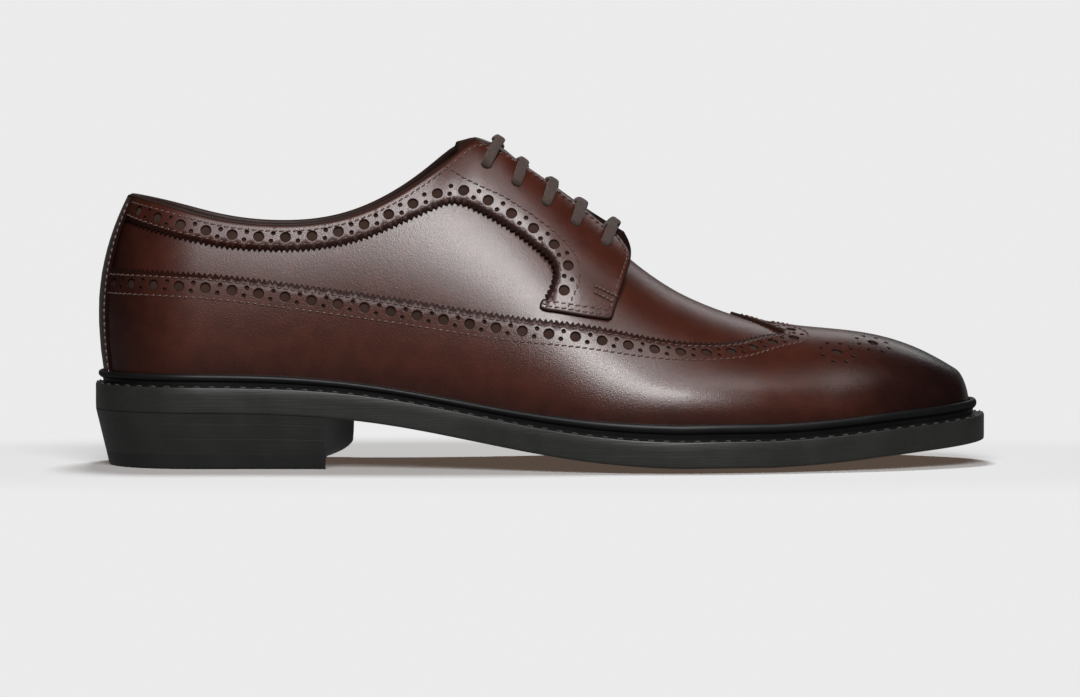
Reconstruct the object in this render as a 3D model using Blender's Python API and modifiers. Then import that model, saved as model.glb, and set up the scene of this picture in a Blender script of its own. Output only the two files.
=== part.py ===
"""Longwing derby shoe for the right foot, as an assembly of separate solids.

Sizes are in millimetres and meshes are written in metres. The design frame has x from the back of the
heel seat (0) to the tip of the toe, y towards the inner (medial) side of the foot and z up from the
floor. The finished parts hang from one empty that moves the middle of the sole's footprint to the origin.
"""

from collections import namedtuple
from math import cos, pi, radians, sin

import bmesh
import bpy
import numpy as np
from mathutils import Vector

MM = 0.001
GAP = 0.3

# Driving sizes of the last and its leather
LAST_LENGTH = 299.0
HEEL_SWING = 34.0
TOE_CLOSING = 250.0
TOE_SQUARENESS = 2.7
NOSE_LENGTH = 5.0
NOSE_ROUNDNESS = 2.3
HEEL_ROUNDNESS = 2.15
HEEL_BULGE = 1.4
HEEL_BULGE_HEIGHT = 24.0
HEEL_LEAN_ABOVE = 0.0064
HEEL_LEAN_BELOW = 0.0040
UPPER_WALL = 2.2
LATERAL, MEDIAL = -1, 1

# Bottom of the shoe
WELT_THICKNESS = 3.4
OUTSOLE_THICKNESS = 5.2
WELT_INNER = 2.5
BEAD_FOOT = 1.2
BEAD_STEM_SHARE = 0.42
BEAD_LIP = 2.4
INSOLE_INSET = 2.9
INSOLE_RISE = 1.2
HEEL_BREAST = 81.0
HEEL_BREAST_SKEW = 3.5
HEEL_BREAST_HOLLOW = 5.5
HEEL_BREAST_FADE = 4
HEEL_TAPER = 4.6
TOP_PIECE_THICKNESS = 5.0

# Opening, facings, tongue and lace
THROAT_X = 182.0
THROAT_HALF_GAP = 6.0
FACING_TOP_X = 130.0
FACING_FRONT_X = 177.5
FACING_TOP_HALF_GAP = 7.2
FACING_THICKNESS = 2.0
FACING_LIFT = 0.4
FACING_FRONT_LIFT = {LATERAL: 2.4, MEDIAL: 6.0}
TONGUE_THICKNESS = 2.0
TONGUE_FRONT_X = 190.0
TONGUE_TOP_X = 126.0
TONGUE_HALF_WIDTH_FRONT = 17.0
TONGUE_HALF_WIDTH_TOP = 25.0
LACE_DIAMETER = 3.4

# One row for each bar of the lace, from the top: its x over the gap, and its eyelets' x and distance from the
# lacing edge
LaceBar = namedtuple("LaceBar", "x eyelet_x from_edge")
LACE_BARS = (
    LaceBar(133.4, 131.5, 7.0),
    LaceBar(142.6, 141.5, 8.2),
    LaceBar(151.8, 151.4, 9.4),
    LaceBar(160.9, 161.0, 10.0),
    LaceBar(170.1, 170.8, 9.6),
)

# One row for each cross-section of the last: x from the heel, sideways swing of the middle line, the two
# half widths at the welt, how far the wall bulges past them, the height of the ridge above the welt, and
# two shape shares: how high the wall stays upright and how wide the crown is.
Section = namedtuple("Section", "x swing lateral medial bulge height wall crown")
SECTIONS = (
    Section(34, 0.0, 30.5, 30.0, 3.0, 82.0, 0.52, 0.60),
    Section(70, 0.0, 30.5, 28.5, 3.0, 87.0, 0.50, 0.55),
    Section(105, 0.0, 33.0, 26.5, 3.2, 95.5, 0.45, 0.50),
    Section(135, 0.0, 37.5, 28.5, 3.2, 92.2, 0.40, 0.48),
    Section(160, 0.5, 43.0, 32.5, 3.8, 78.0, 0.38, 0.45),
    Section(185, 1.5, 47.0, 38.0, 4.4, 58.6, 0.38, 0.45),
    Section(212, 2.5, 46.5, 41.5, 4.6, 44.5, 0.42, 0.50),
    Section(240, 4.0, 41.5, 39.0, 4.0, 37.6, 0.46, 0.54),
    Section(267, 5.2, 33.5, 33.0, 3.0, 31.9, 0.50, 0.56),
    Section(285, 5.8, 27.0, 27.0, 2.0, 23.0, 0.54, 0.58),
    Section(299, 6.2, 23.0, 23.0, 1.4, 12.6, 0.56, 0.60),
)

# The seat line: height of the welt's top, on which the upper stands, along the shoe
Seat = namedtuple("Seat", "x height")
SEAT_LINE = (
    Seat(-4, 28.2),
    Seat(36, 28.0),
    Seat(80, 26.4),
    Seat(110, 22.4),
    Seat(140, 16.4),
    Seat(170, 11.2),
    Seat(198, 8.9),
    Seat(225, 8.8),
    Seat(260, 11.0),
    Seat(305, 17.4),
)
SEAT_LOWEST = WELT_THICKNESS + OUTSOLE_THICKNESS + GAP

# How far the sole's edge stands out from the upper, and how high the welt's bead stands, along the shoe
Rand = namedtuple("Rand", "x margin bead")
RAND = (
    Rand(0, 3.9, 4.3),
    Rand(60, 3.9, 4.2),
    Rand(105, 3.6, 3.8),
    Rand(140, 4.6, 4.2),
    Rand(180, 6.2, 5.2),
    Rand(240, 6.2, 5.4),
    Rand(299, 5.0, 5.6),
)

# The collar's top line on each side
Collar = namedtuple("Collar", "x lateral medial")
COLLAR_LINE = (
    Collar(8, 93.8, 93.8),
    Collar(22, 90.4, 90.4),
    Collar(40, 85.8, 85.8),
    Collar(60, 83.6, 83.8),
    Collar(80, 85.2, 86.0),
    Collar(95, 90.2, 91.8),
    Collar(110, 99.0, 101.6),
    Collar(122, 107.8, 111.6),
    Collar(136, 119.0, 122.0),
)

# The facing's rear edge, from its lower corner up to the collar
Edge = namedtuple("Edge", "x height")
FACING_REAR = (
    Edge(151.0, 57.0),
    Edge(154.5, 69.5),
    Edge(143.0, 81.0),
    Edge(129.0, 89.0),
    Edge(121.5, 98.0),
    Edge(123.5, 105.5),
)
FACING_FRONT_LOW = Edge(174.5, 52.0)

# Fineness of the facets
HEEL_STATIONS = 8
QUARTER_STATIONS = 15
VAMP_STATIONS = 7
TOE_STATIONS = 9
WALL_ROWS = 10
STRIP_ROWS = 3
SOLE_COLUMNS = 3
HEEL_COLUMNS = 7
HEEL_LAST_STEP = 10.0
FACING_COLUMNS = 9
FACING_ROWS = 13
TONGUE_ROWS = 13
TONGUE_COLUMNS = 13
LACE_HALF_POINTS = 5
SLOPE_STEP_U = 0.2
SLOPE_STEP_T = 0.004


def natural_spline(rows, column):
    """A smooth curve of one table column over x, with no curvature at its ends."""
    xs = np.array([row.x for row in rows], float)
    ys = np.array([getattr(row, column) for row in rows], float)
    steps = np.diff(xs)
    slopes = np.diff(ys) / steps
    system = np.eye(len(xs))
    right = np.zeros(len(xs))
    for i in range(1, len(xs) - 1):
        system[i, i - 1 : i + 2] = steps[i - 1], 2 * (steps[i - 1] + steps[i]), steps[i]
        right[i] = 6 * (slopes[i] - slopes[i - 1])
    bends = np.linalg.solve(system, right)

    def curve(x):
        i = int(np.clip(np.searchsorted(xs, x) - 1, 0, len(steps) - 1))
        step = steps[i]
        ahead = (xs[i + 1] - x) / step
        behind = (x - xs[i]) / step
        bent = (ahead**3 - ahead) * bends[i] + (behind**3 - behind) * bends[i + 1]
        return ahead * ys[i] + behind * ys[i + 1] + bent * step**2 / 6

    return curve


LAST = {name: natural_spline(SECTIONS, name) for name in Section._fields[1:]}
seat_spline = natural_spline(SEAT_LINE, "height")
sole_margin = natural_spline(RAND, "margin")
bead_height = natural_spline(RAND, "bead")
collar_height = {
    LATERAL: natural_spline(COLLAR_LINE, "lateral"),
    MEDIAL: natural_spline(COLLAR_LINE, "medial"),
}


def seat_height(x):
    """Top of the welt, flat where the forefoot stands on the floor."""
    return max(SEAT_LOWEST, seat_spline(x))


def closing(x, start, power):
    """Share left of a size that runs out to nothing at the toe's tip along a rounded end."""
    along = min(max((x - start) / (LAST_LENGTH - start), 0.0), 1.0)
    return (1 - along**power) ** (1 / power)


def heel_back(height):
    """How far forward of the heel seat's back the heel's profile lies, at a height above the seat."""
    lean = HEEL_LEAN_ABOVE if height > HEEL_BULGE_HEIGHT else HEEL_LEAN_BELOW
    return -HEEL_BULGE + lean * (height - HEEL_BULGE_HEIGHT) ** 2


def section_point(x, t, side):
    """Half width from the middle line and height above the seat, t running from the welt to the ridge."""
    narrowing = closing(x, TOE_CLOSING, TOE_SQUARENESS)
    lowering = closing(x, LAST_LENGTH - NOSE_LENGTH, NOSE_ROUNDNESS)
    width = LAST["lateral" if side == LATERAL else "medial"](x) * narrowing
    bulge = LAST["bulge"](x) * narrowing
    height = LAST["height"](x) * lowering
    corners = (
        (width, 0.0),
        (width + bulge, LAST["wall"](x) * height),
        (LAST["crown"](x) * width, height),
        (0.0, height),
    )
    weights = ((1 - t) ** 3, 3 * (1 - t) ** 2 * t, 3 * (1 - t) * t**2, t**3)
    across = sum(weight * corner[0] for weight, corner in zip(weights, corners))
    up = sum(weight * corner[1] for weight, corner in zip(weights, corners))
    return across, up


def last_point(u, t, side):
    """A point of the upper's outer surface. u runs along x and, behind HEEL_SWING, round the heel."""
    section_x = max(u, HEEL_SWING)
    across, up = section_point(section_x, t, side)
    x = section_x
    if u < HEEL_SWING:
        angle = pi / 2 * u / HEEL_SWING
        back = heel_back(up)
        x = HEEL_SWING - (HEEL_SWING - back) * cos(angle) ** (2 / HEEL_ROUNDNESS)
        across *= sin(angle) ** (2 / HEEL_ROUNDNESS)
    return np.array((x, LAST["swing"](section_x) + side * across, seat_height(x) + GAP + up))


def last_normal(u, t, side):
    """The outward direction of the upper's surface."""
    u = min(max(u, SLOPE_STEP_U), LAST_LENGTH - 2 * SLOPE_STEP_U)
    t = min(max(t, SLOPE_STEP_T), 1 - SLOPE_STEP_T)
    along = last_point(u + SLOPE_STEP_U, t, side) - last_point(u - SLOPE_STEP_U, t, side)
    around = last_point(u, t + SLOPE_STEP_T, side) - last_point(u, t - SLOPE_STEP_T, side)
    normal = np.cross(around, along) * side
    return normal / np.linalg.norm(normal)


def lifted_point(u, t, side, lift):
    """A point at a distance outside the upper's outer surface."""
    return last_point(u, t, side) + lift * last_normal(u, t, side)


def solve_t(measure, low=0.0, high=1.0):
    """The t at which a measure that rises with t passes zero."""
    for _ in range(40):
        middle = (low + high) / 2
        if measure(middle) > 0:
            high = middle
        else:
            low = middle
    return (low + high) / 2


def t_at_height(u, side, height):
    return solve_t(lambda t: last_point(u, t, side)[2] - height)


def t_at_half_width(u, side, half_width):
    """t near the ridge where the surface is this far from the middle line."""
    return solve_t(lambda t: half_width - section_point(max(u, HEEL_SWING), t, side)[0], low=0.5)


def half_gap(u):
    """Half the gap between the facings. In front of the throat it narrows with the toe."""
    share = (u - FACING_TOP_X) / (THROAT_X - FACING_TOP_X)
    gap = FACING_TOP_HALF_GAP + (THROAT_HALF_GAP - FACING_TOP_HALF_GAP) * min(max(share, 0), 1)
    return gap * closing(u, THROAT_X, 2)


def opening_t(u, side):
    """Where the wall ends: at the collar, or beside the gap between the facings."""
    beside_gap = t_at_half_width(u, side, half_gap(u))
    if u >= FACING_TOP_X + 10:
        return beside_gap

    def above_collar(t):
        point = last_point(u, t, side)
        return point[2] - collar_height[side](point[0])

    return min(beside_gap, solve_t(above_collar))


def stations():
    """u from the heel's back to the toe's tip, closer where the ends curve, with one at the throat."""
    heel = np.linspace(0, HEEL_SWING, HEEL_STATIONS + 1)
    behind = np.linspace(HEEL_SWING, THROAT_X, QUARTER_STATIONS + 1)
    ahead = np.linspace(THROAT_X, TOE_CLOSING, VAMP_STATIONS + 1)
    turn = np.linspace(0, pi / 2, TOE_STATIONS + 1)
    toe = TOE_CLOSING + (LAST_LENGTH - TOE_CLOSING) * np.sin(turn)
    return [*heel, *behind[1:], *ahead[1:], *toe[1:]]


def material(name, colour, roughness):
    """A plain Principled surface."""
    made = bpy.data.materials.new(name)
    made.use_nodes = True
    shader = made.node_tree.nodes["Principled BSDF"]
    shader.inputs["Base Color"].default_value = (*colour, 1)
    shader.inputs["Roughness"].default_value = roughness
    shader.inputs["Metallic"].default_value = 0
    return made


class Shoe:
    """The collection that the parts go in, and the empty that carries them."""

    def __init__(self, name):
        self.collection = bpy.data.collections.new(name)
        bpy.context.scene.collection.children.link(self.collection)
        self.carrier = bpy.data.objects.new(name + "_origin", None)
        self.collection.objects.link(self.carrier)

    def add(self, name, data, surface):
        data.materials.append(surface)
        part = bpy.data.objects.new(name, data)
        part.parent = self.carrier
        self.collection.objects.link(part)
        return part

    def add_mesh(self, name, mesh, surface):
        """A bmesh in millimetres as a part, with its coincident points joined and its faces turned out."""
        bmesh.ops.remove_doubles(mesh, verts=mesh.verts, dist=0.02)
        bmesh.ops.recalc_face_normals(mesh, faces=mesh.faces)
        bmesh.ops.scale(mesh, vec=(MM, MM, MM), verts=mesh.verts)
        data = bpy.data.meshes.new(name)
        mesh.to_mesh(data)
        mesh.free()
        data.shade_smooth()
        data.set_sharp_from_angle(angle=radians(35))
        return self.add(name, data, surface)


def add_grid(mesh, points, keep=lambda row, column: True):
    """Quads over a two-way table of points, but for those that keep refuses. Returns the vertices."""
    verts = [[mesh.verts.new(Vector(point)) for point in row] for row in points]
    for i in range(len(verts) - 1):
        for j in range(len(verts[0]) - 1):
            if keep(i, j):
                mesh.faces.new((verts[i][j], verts[i + 1][j], verts[i + 1][j + 1], verts[i][j + 1]))
    return verts


def add_shell(shoe, name, tables, thickness, surface, keep=lambda row, column: True):
    """An open surface made of tables of points, thickened inwards."""
    mesh = bmesh.new()
    for table in tables:
        add_grid(mesh, table, keep)
    unused = [vert for vert in mesh.verts if not vert.link_faces]
    bmesh.ops.delete(mesh, geom=unused, context="VERTS")
    part = shoe.add_mesh(name, mesh, surface)
    wall = part.modifiers.new("wall", "SOLIDIFY")
    wall.thickness = thickness * MM
    wall.offset = -1
    wall.use_even_offset = True
    return part


def add_slab(shoe, name, top, bottom, surface):
    """A solid between two tables of points with the same rows and columns."""
    mesh = bmesh.new()
    upper = add_grid(mesh, top)
    lower = add_grid(mesh, bottom)

    def border(verts):
        far_side = [row[-1] for row in verts[1:]]
        near_side = [row[0] for row in verts[-2:0:-1]]
        return [*verts[0], *far_side, *verts[-1][-2::-1], *near_side]

    above, below = border(upper), border(lower)
    for i, corner in enumerate(above):
        quad = (above[i - 1], corner, below[i], below[i - 1])
        mesh.faces.new(quad)
    return shoe.add_mesh(name, mesh, surface)


def outline_frame(u, side):
    """A point of the upper's lower edge and the level direction straight out from it."""
    if u <= 0 or u >= LAST_LENGTH:
        return last_point(u, 0, side), np.array((-1.0 if u <= 0 else 1.0, 0, 0))
    ahead = last_point(min(u + SLOPE_STEP_U, LAST_LENGTH), 0, side)
    behind = last_point(max(u - SLOPE_STEP_U, 0), 0, side)
    along = ahead - behind
    outward = np.array((-along[1], along[0], 0)) * side
    return last_point(u, 0, side), outward / np.linalg.norm(outward)


def wall_offset(u, side, up):
    """How far out the wall has leaned at a height above its lower edge."""
    base, outward = outline_frame(u, side)
    t = t_at_height(u, side, base[2] + up)
    return max(0.0, (last_point(u, t, side) - base) @ outward)


def ring():
    """Once round the upper's lower edge, as (u, side): the lateral side first, then the medial side back."""
    us = stations()
    return [(u, LATERAL) for u in us] + [(u, MEDIAL) for u in reversed(us[1:-1])]


def sole_sheet(us, columns, margin, rise):
    """A level-across table of points over the foot's outline, at a height above the seat line."""
    table = []
    for u in us:
        sides = []
        for side in (LATERAL, MEDIAL):
            base, outward = outline_frame(u, side)
            sides.append(base + margin(u) * outward)
        row = [sides[0] + (sides[1] - sides[0]) * share for share in np.linspace(0, 1, columns)]
        table.append([(x, y, seat_height(x) + rise) for x, y, _ in row])
    return table


def make_upper(shoe, surface):
    """The vamp, wings and quarters as one hollow wall, open at the collar, the throat and underneath."""
    us = stations()
    throat = us.index(THROAT_X)
    tables = []
    for side in (LATERAL, MEDIAL):
        table = []
        for u in us:
            edge = opening_t(u, side)
            ts = [*np.linspace(0, edge, WALL_ROWS + 1), *np.linspace(edge, 1, STRIP_ROWS + 1)[1:]]
            table.append([last_point(u, t, side) for t in ts])
        tables.append(table)

    def closed_over(row, column):
        return column < WALL_ROWS or row >= throat

    return add_shell(shoe, "upper", tables, UPPER_WALL, surface, closed_over)


def facing_lift(side, along, up):
    """How far the facing's underside stands off the upper: most at its front, over the tongue."""
    return FACING_LIFT + FACING_FRONT_LIFT[side] * along**2 * up


def facing_edges(side):
    """The facing's rear and front edges as lists of (u, t), from the lower corners up to the lacing edge."""

    def lacing_edge(u):
        return u, t_at_half_width(u, side, half_gap(u) + GAP)

    rear = [(edge.x, t_at_height(edge.x, side, edge.height)) for edge in FACING_REAR]
    rear.append(lacing_edge(FACING_TOP_X))
    low = (FACING_FRONT_LOW.x, t_at_height(FACING_FRONT_LOW.x, side, FACING_FRONT_LOW.height))
    top = lacing_edge(FACING_FRONT_X)
    front = [np.add(low, np.subtract(top, low) * share) for share in np.linspace(0, 1, len(rear))]
    return rear, front


def facing_point(side, along, up):
    """(u, t) on the facing, along from rear to front and up from its lower edge to the lacing edge."""
    rear, front = facing_edges(side)
    place = up * (len(rear) - 1)
    i = min(int(place), len(rear) - 2)
    start = np.add(rear[i], np.subtract(rear[i + 1], rear[i]) * (place - i))
    end = np.add(front[i], np.subtract(front[i + 1], front[i]) * (place - i))
    return start + (end - start) * along


def make_facing(shoe, name, side, surface):
    """A flap that carries the eyelets, sewn over the quarter and standing on the vamp."""
    outer, inner = [], []
    for along in np.linspace(0, 1, FACING_COLUMNS):
        outer_row, inner_row = [], []
        for up in np.linspace(0, 1, FACING_ROWS):
            u, t = facing_point(side, along, up)
            lift = facing_lift(side, along, up)
            inner_row.append(lifted_point(u, t, side, lift))
            outer_row.append(lifted_point(u, t, side, lift + FACING_THICKNESS))
        outer.append(outer_row)
        inner.append(inner_row)
    return add_slab(shoe, name, outer, inner, surface)


def make_tongue(shoe, surface):
    """The tongue under the facings, from behind the throat up past the collar."""
    depth = UPPER_WALL + 3 * GAP
    outer, inner = [], []
    for u in np.linspace(TONGUE_FRONT_X, TONGUE_TOP_X, TONGUE_ROWS):
        share = (TONGUE_FRONT_X - u) / (TONGUE_FRONT_X - TONGUE_TOP_X)
        half = TONGUE_HALF_WIDTH_FRONT + (TONGUE_HALF_WIDTH_TOP - TONGUE_HALF_WIDTH_FRONT) * share
        places = []
        for across in np.linspace(-1, 1, TONGUE_COLUMNS):
            side = LATERAL if across < 0 else MEDIAL
            t = t_at_half_width(u, side, abs(across) * half) if across else 1.0
            places.append((u, t, side))
        outer.append([lifted_point(*place, -depth) for place in places])
        inner.append([lifted_point(*place, -depth - TONGUE_THICKNESS) for place in places])
    return add_slab(shoe, "tongue", outer, inner, surface)


def make_welt(shoe, surface):
    """A strip round the whole shoe: a flange under the upper's edge and a bead that stands against it."""
    mesh = bmesh.new()
    table = []
    for u, side in ring():
        base, outward = outline_frame(u, side)
        bead = bead_height(u)
        stem_height = BEAD_STEM_SHARE * bead
        stem = wall_offset(u, side, stem_height)
        lean = wall_offset(u, side, bead)
        profile = (
            (-WELT_INNER, -WELT_THICKNESS),
            (sole_margin(u), -WELT_THICKNESS),
            (sole_margin(u), 0.0),
            (BEAD_FOOT, 0.0),
            (BEAD_FOOT + stem, stem_height),
            (BEAD_LIP + lean, stem_height + GAP),
            (BEAD_LIP + lean, bead - 4 * GAP),
            (BEAD_LIP + lean - 3 * GAP, bead),
            (GAP + lean, bead),
            (GAP + stem, stem_height),
            (GAP, 0.0),
            (-WELT_INNER, 0.0),
        )
        row = []
        for out, up in profile:
            x, y, _ = base + out * outward
            row.append((x, y, seat_height(x) + up))
        table.append(row + row[:1])
    add_grid(mesh, table + table[:1])
    return shoe.add_mesh("welt", mesh, surface)


def make_outsole(shoe, surface):
    """The full-length sole, from the heel's back to the toe, sprung at the toe and arched at the waist."""
    top = sole_sheet(stations(), SOLE_COLUMNS, sole_margin, -WELT_THICKNESS - GAP)
    bottom = sole_sheet(stations(), SOLE_COLUMNS, sole_margin, -SEAT_LOWEST)
    return add_slab(shoe, "outsole", top, bottom, surface)


def make_insole(shoe, surface):
    """The board inside the welt's ring, on which the foot stands."""
    us = stations()[:-1]
    top = sole_sheet(us, SOLE_COLUMNS, lambda u: -INSOLE_INSET, INSOLE_RISE)
    bottom = sole_sheet(us, SOLE_COLUMNS, lambda u: -INSOLE_INSET, -WELT_THICKNESS)
    return add_slab(shoe, "insole", top, bottom, surface)


def heel_table(inset, level):
    """Points over the heel's outline drawn in by an inset, each at the height that level gives for its x."""
    us = [u for u in stations() if u < HEEL_BREAST - HEEL_LAST_STEP] + [HEEL_BREAST]
    flat = sole_sheet(us, HEEL_COLUMNS, lambda u: sole_margin(u) - inset, 0)
    table = []
    for i, row in enumerate(flat):
        reach = i / (len(flat) - 1)
        moved = []
        for j, (x, y, _) in enumerate(row):
            across = 2 * j / (HEEL_COLUMNS - 1) - 1
            breast = HEEL_BREAST_SKEW * across - HEEL_BREAST_HOLLOW * (1 - across**2)
            x += breast * reach**HEEL_BREAST_FADE
            moved.append((x, y, level(x)))
        table.append(moved)
    return table


def make_heel(shoe, surface, worn_surface):
    """The stacked heel and, under it, the top piece that meets the floor."""

    def under_sole(x):
        return seat_height(x) - SEAT_LOWEST - GAP

    def inset_at(height):
        return HEEL_TAPER * (1 - height / under_sole(0))

    stack_foot = TOP_PIECE_THICKNESS + GAP
    add_slab(
        shoe,
        "heel_stack",
        heel_table(0.0, under_sole),
        heel_table(inset_at(stack_foot), lambda x: stack_foot),
        surface,
    )
    add_slab(
        shoe,
        "heel_top_piece",
        heel_table(inset_at(TOP_PIECE_THICKNESS), lambda x: TOP_PIECE_THICKNESS),
        heel_table(inset_at(0.0), lambda x: 0.0),
        worn_surface,
    )


def lace_route(bar):
    """One bar of the lace from the lateral eyelet, straight over the gap, to the medial one, as points."""
    route = []
    for side in (LATERAL, MEDIAL):
        half_run = []
        for share in np.linspace(1, 0, LACE_HALF_POINTS):
            u, out = bar.x + (bar.eyelet_x - bar.x) * share, bar.from_edge * share
            t = t_at_half_width(u, side, half_gap(u) + out)
            along = (u - FACING_TOP_X) / (FACING_FRONT_X - FACING_TOP_X)
            clear = facing_lift(side, along, 1) + FACING_THICKNESS + LACE_DIAMETER / 2 + GAP
            half_run.append(lifted_point(u, t, side, clear))
        route += half_run if side == LATERAL else half_run[::-1]
    return route


def make_lace(shoe, surface):
    """The straight bars of the lace, one for each pair of eyelets."""
    for i, bar in enumerate(LACE_BARS):
        name = f"lace_bar_{i + 1}"
        data = bpy.data.curves.new(name, "CURVE")
        data.dimensions = "3D"
        data.bevel_depth = LACE_DIAMETER / 2 * MM
        data.bevel_resolution = 2
        data.use_fill_caps = True
        route = lace_route(bar)
        spline = data.splines.new("POLY")
        spline.points.add(len(route) - 1)
        for point, place in zip(spline.points, route):
            point.co = (*(place * MM), 1)
        shoe.add(name, data, surface)


def footprint_middle():
    """The middle of the sole's box, seen from above."""
    outline = []
    for u, side in ring():
        base, outward = outline_frame(u, side)
        outline.append(base + sole_margin(u) * outward)
    outline = np.array(outline)
    return (outline.min(axis=0) + outline.max(axis=0)) / 2


def main():
    for old in list(bpy.data.objects):
        bpy.data.objects.remove(old)
    calf = material("brown_calf", (0.075, 0.028, 0.018), 0.35)
    facing_calf = material("brown_facing_calf", (0.085, 0.030, 0.018), 0.35)
    lining = material("dark_lining", (0.030, 0.017, 0.012), 0.55)
    edge_black = material("black_edge", (0.018, 0.018, 0.017), 0.42)
    welt_black = material("black_welt", (0.012, 0.012, 0.012), 0.38)
    top_rubber = material("black_top_piece", (0.014, 0.014, 0.014), 0.6)
    waxed_cotton = material("grey_brown_cotton", (0.075, 0.060, 0.055), 0.75)
    shoe = Shoe("derby_shoe")
    make_outsole(shoe, edge_black)
    make_welt(shoe, welt_black)
    make_insole(shoe, lining)
    make_heel(shoe, edge_black, top_rubber)
    make_upper(shoe, calf)
    make_tongue(shoe, calf)
    make_facing(shoe, "facing_lateral", LATERAL, facing_calf)
    make_facing(shoe, "facing_medial", MEDIAL, facing_calf)
    make_lace(shoe, waxed_cotton)
    middle = footprint_middle()
    shoe.carrier.location = (-middle[0] * MM, -middle[1] * MM, 0)


main()
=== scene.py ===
"""Looks of the longwing derby shoe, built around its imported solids.

Sizes are in millimetres, in the design frame of the part's source: x from the back of the heel seat to the
tip of the toe, y towards the inner (medial) side of the foot and z up from the floor. Meshes are written in
metres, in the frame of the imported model.
"""

from collections import namedtuple
from math import cos, pi, radians, sin

import bmesh
import bpy
import numpy as np
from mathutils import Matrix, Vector
from mathutils.geometry import delaunay_2d_cdt


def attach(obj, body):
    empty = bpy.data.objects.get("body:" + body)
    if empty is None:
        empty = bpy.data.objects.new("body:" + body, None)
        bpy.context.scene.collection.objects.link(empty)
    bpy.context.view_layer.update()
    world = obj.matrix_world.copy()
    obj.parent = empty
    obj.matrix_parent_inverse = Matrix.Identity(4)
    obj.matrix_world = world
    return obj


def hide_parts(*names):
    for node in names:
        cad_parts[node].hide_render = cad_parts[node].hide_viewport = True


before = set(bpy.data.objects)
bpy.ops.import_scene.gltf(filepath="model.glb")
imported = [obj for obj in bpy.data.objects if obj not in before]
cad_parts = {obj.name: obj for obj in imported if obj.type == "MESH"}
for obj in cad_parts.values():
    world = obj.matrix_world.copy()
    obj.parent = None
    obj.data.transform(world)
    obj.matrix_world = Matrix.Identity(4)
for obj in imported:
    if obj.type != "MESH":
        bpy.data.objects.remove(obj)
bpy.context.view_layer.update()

MM = 0.001
GAP = 0.3
LATERAL, MEDIAL = -1, 1

# Driving sizes of the last, repeated from the part's source
LAST_LENGTH = 299.0
HEEL_SWING = 34.0
TOE_CLOSING = 250.0
TOE_SQUARENESS = 2.7
NOSE_LENGTH = 5.0
NOSE_ROUNDNESS = 2.3
HEEL_ROUNDNESS = 2.15
HEEL_BULGE = 1.4
HEEL_BULGE_HEIGHT = 24.0
HEEL_LEAN_ABOVE = 0.0064
HEEL_LEAN_BELOW = 0.0040
UPPER_WALL = 2.2

Section = namedtuple("Section", "x swing lateral medial bulge height wall crown")
SECTIONS = (
    Section(34, 0.0, 30.5, 30.0, 3.0, 82.0, 0.52, 0.60),
    Section(70, 0.0, 30.5, 28.5, 3.0, 87.0, 0.50, 0.55),
    Section(105, 0.0, 33.0, 26.5, 3.2, 95.5, 0.45, 0.50),
    Section(135, 0.0, 37.5, 28.5, 3.2, 92.2, 0.40, 0.48),
    Section(160, 0.5, 43.0, 32.5, 3.8, 78.0, 0.38, 0.45),
    Section(185, 1.5, 47.0, 38.0, 4.4, 58.6, 0.38, 0.45),
    Section(212, 2.5, 46.5, 41.5, 4.6, 44.5, 0.42, 0.50),
    Section(240, 4.0, 41.5, 39.0, 4.0, 37.6, 0.46, 0.54),
    Section(267, 5.2, 33.5, 33.0, 3.0, 31.9, 0.50, 0.56),
    Section(285, 5.8, 27.0, 27.0, 2.0, 23.0, 0.54, 0.58),
    Section(299, 6.2, 23.0, 23.0, 1.4, 12.6, 0.56, 0.60),
)
Seat = namedtuple("Seat", "x height")
SEAT_LINE = (
    Seat(-4, 28.2),
    Seat(36, 28.0),
    Seat(80, 26.4),
    Seat(110, 22.4),
    Seat(140, 16.4),
    Seat(170, 11.2),
    Seat(198, 8.9),
    Seat(225, 8.8),
    Seat(260, 11.0),
    Seat(305, 17.4),
)
Rand = namedtuple("Rand", "x margin bead")
RAND = (
    Rand(0, 3.9, 4.3),
    Rand(60, 3.9, 4.2),
    Rand(105, 3.6, 3.8),
    Rand(140, 4.6, 4.2),
    Rand(180, 6.2, 5.2),
    Rand(240, 6.2, 5.4),
    Rand(299, 5.0, 5.6),
)
Collar = namedtuple("Collar", "x lateral medial")
COLLAR_LINE = (
    Collar(8, 93.8, 93.8),
    Collar(22, 90.4, 90.4),
    Collar(40, 85.8, 85.8),
    Collar(60, 83.6, 83.8),
    Collar(80, 85.2, 86.0),
    Collar(95, 90.2, 91.8),
    Collar(110, 99.0, 101.6),
    Collar(122, 107.8, 111.6),
    Collar(136, 119.0, 122.0),
)

# Bottom of the shoe, repeated from the part's source
WELT_THICKNESS = 3.4
OUTSOLE_THICKNESS = 5.2
SEAT_LOWEST = WELT_THICKNESS + OUTSOLE_THICKNESS + GAP
WELT_INNER = 2.5
BEAD_FOOT = 1.2
BEAD_STEM_SHARE = 0.42
BEAD_LIP = 2.4
INSOLE_INSET = 2.9
INSOLE_RISE = 1.2
HEEL_BREAST = 81.0
HEEL_BREAST_SKEW = 3.5
HEEL_BREAST_HOLLOW = 5.5
HEEL_BREAST_FADE = 4
HEEL_TAPER = 4.6
TOP_PIECE_THICKNESS = 5.0

# How far the sole's rim is lifted off the floor, and the spans of x over which the lift grows and fades
RIM_LIFT = 1.9
RIM_LIFT_REAR = (110.0, 215.0)
RIM_LIFT_FRONT = (262.0, 303.0)

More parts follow.
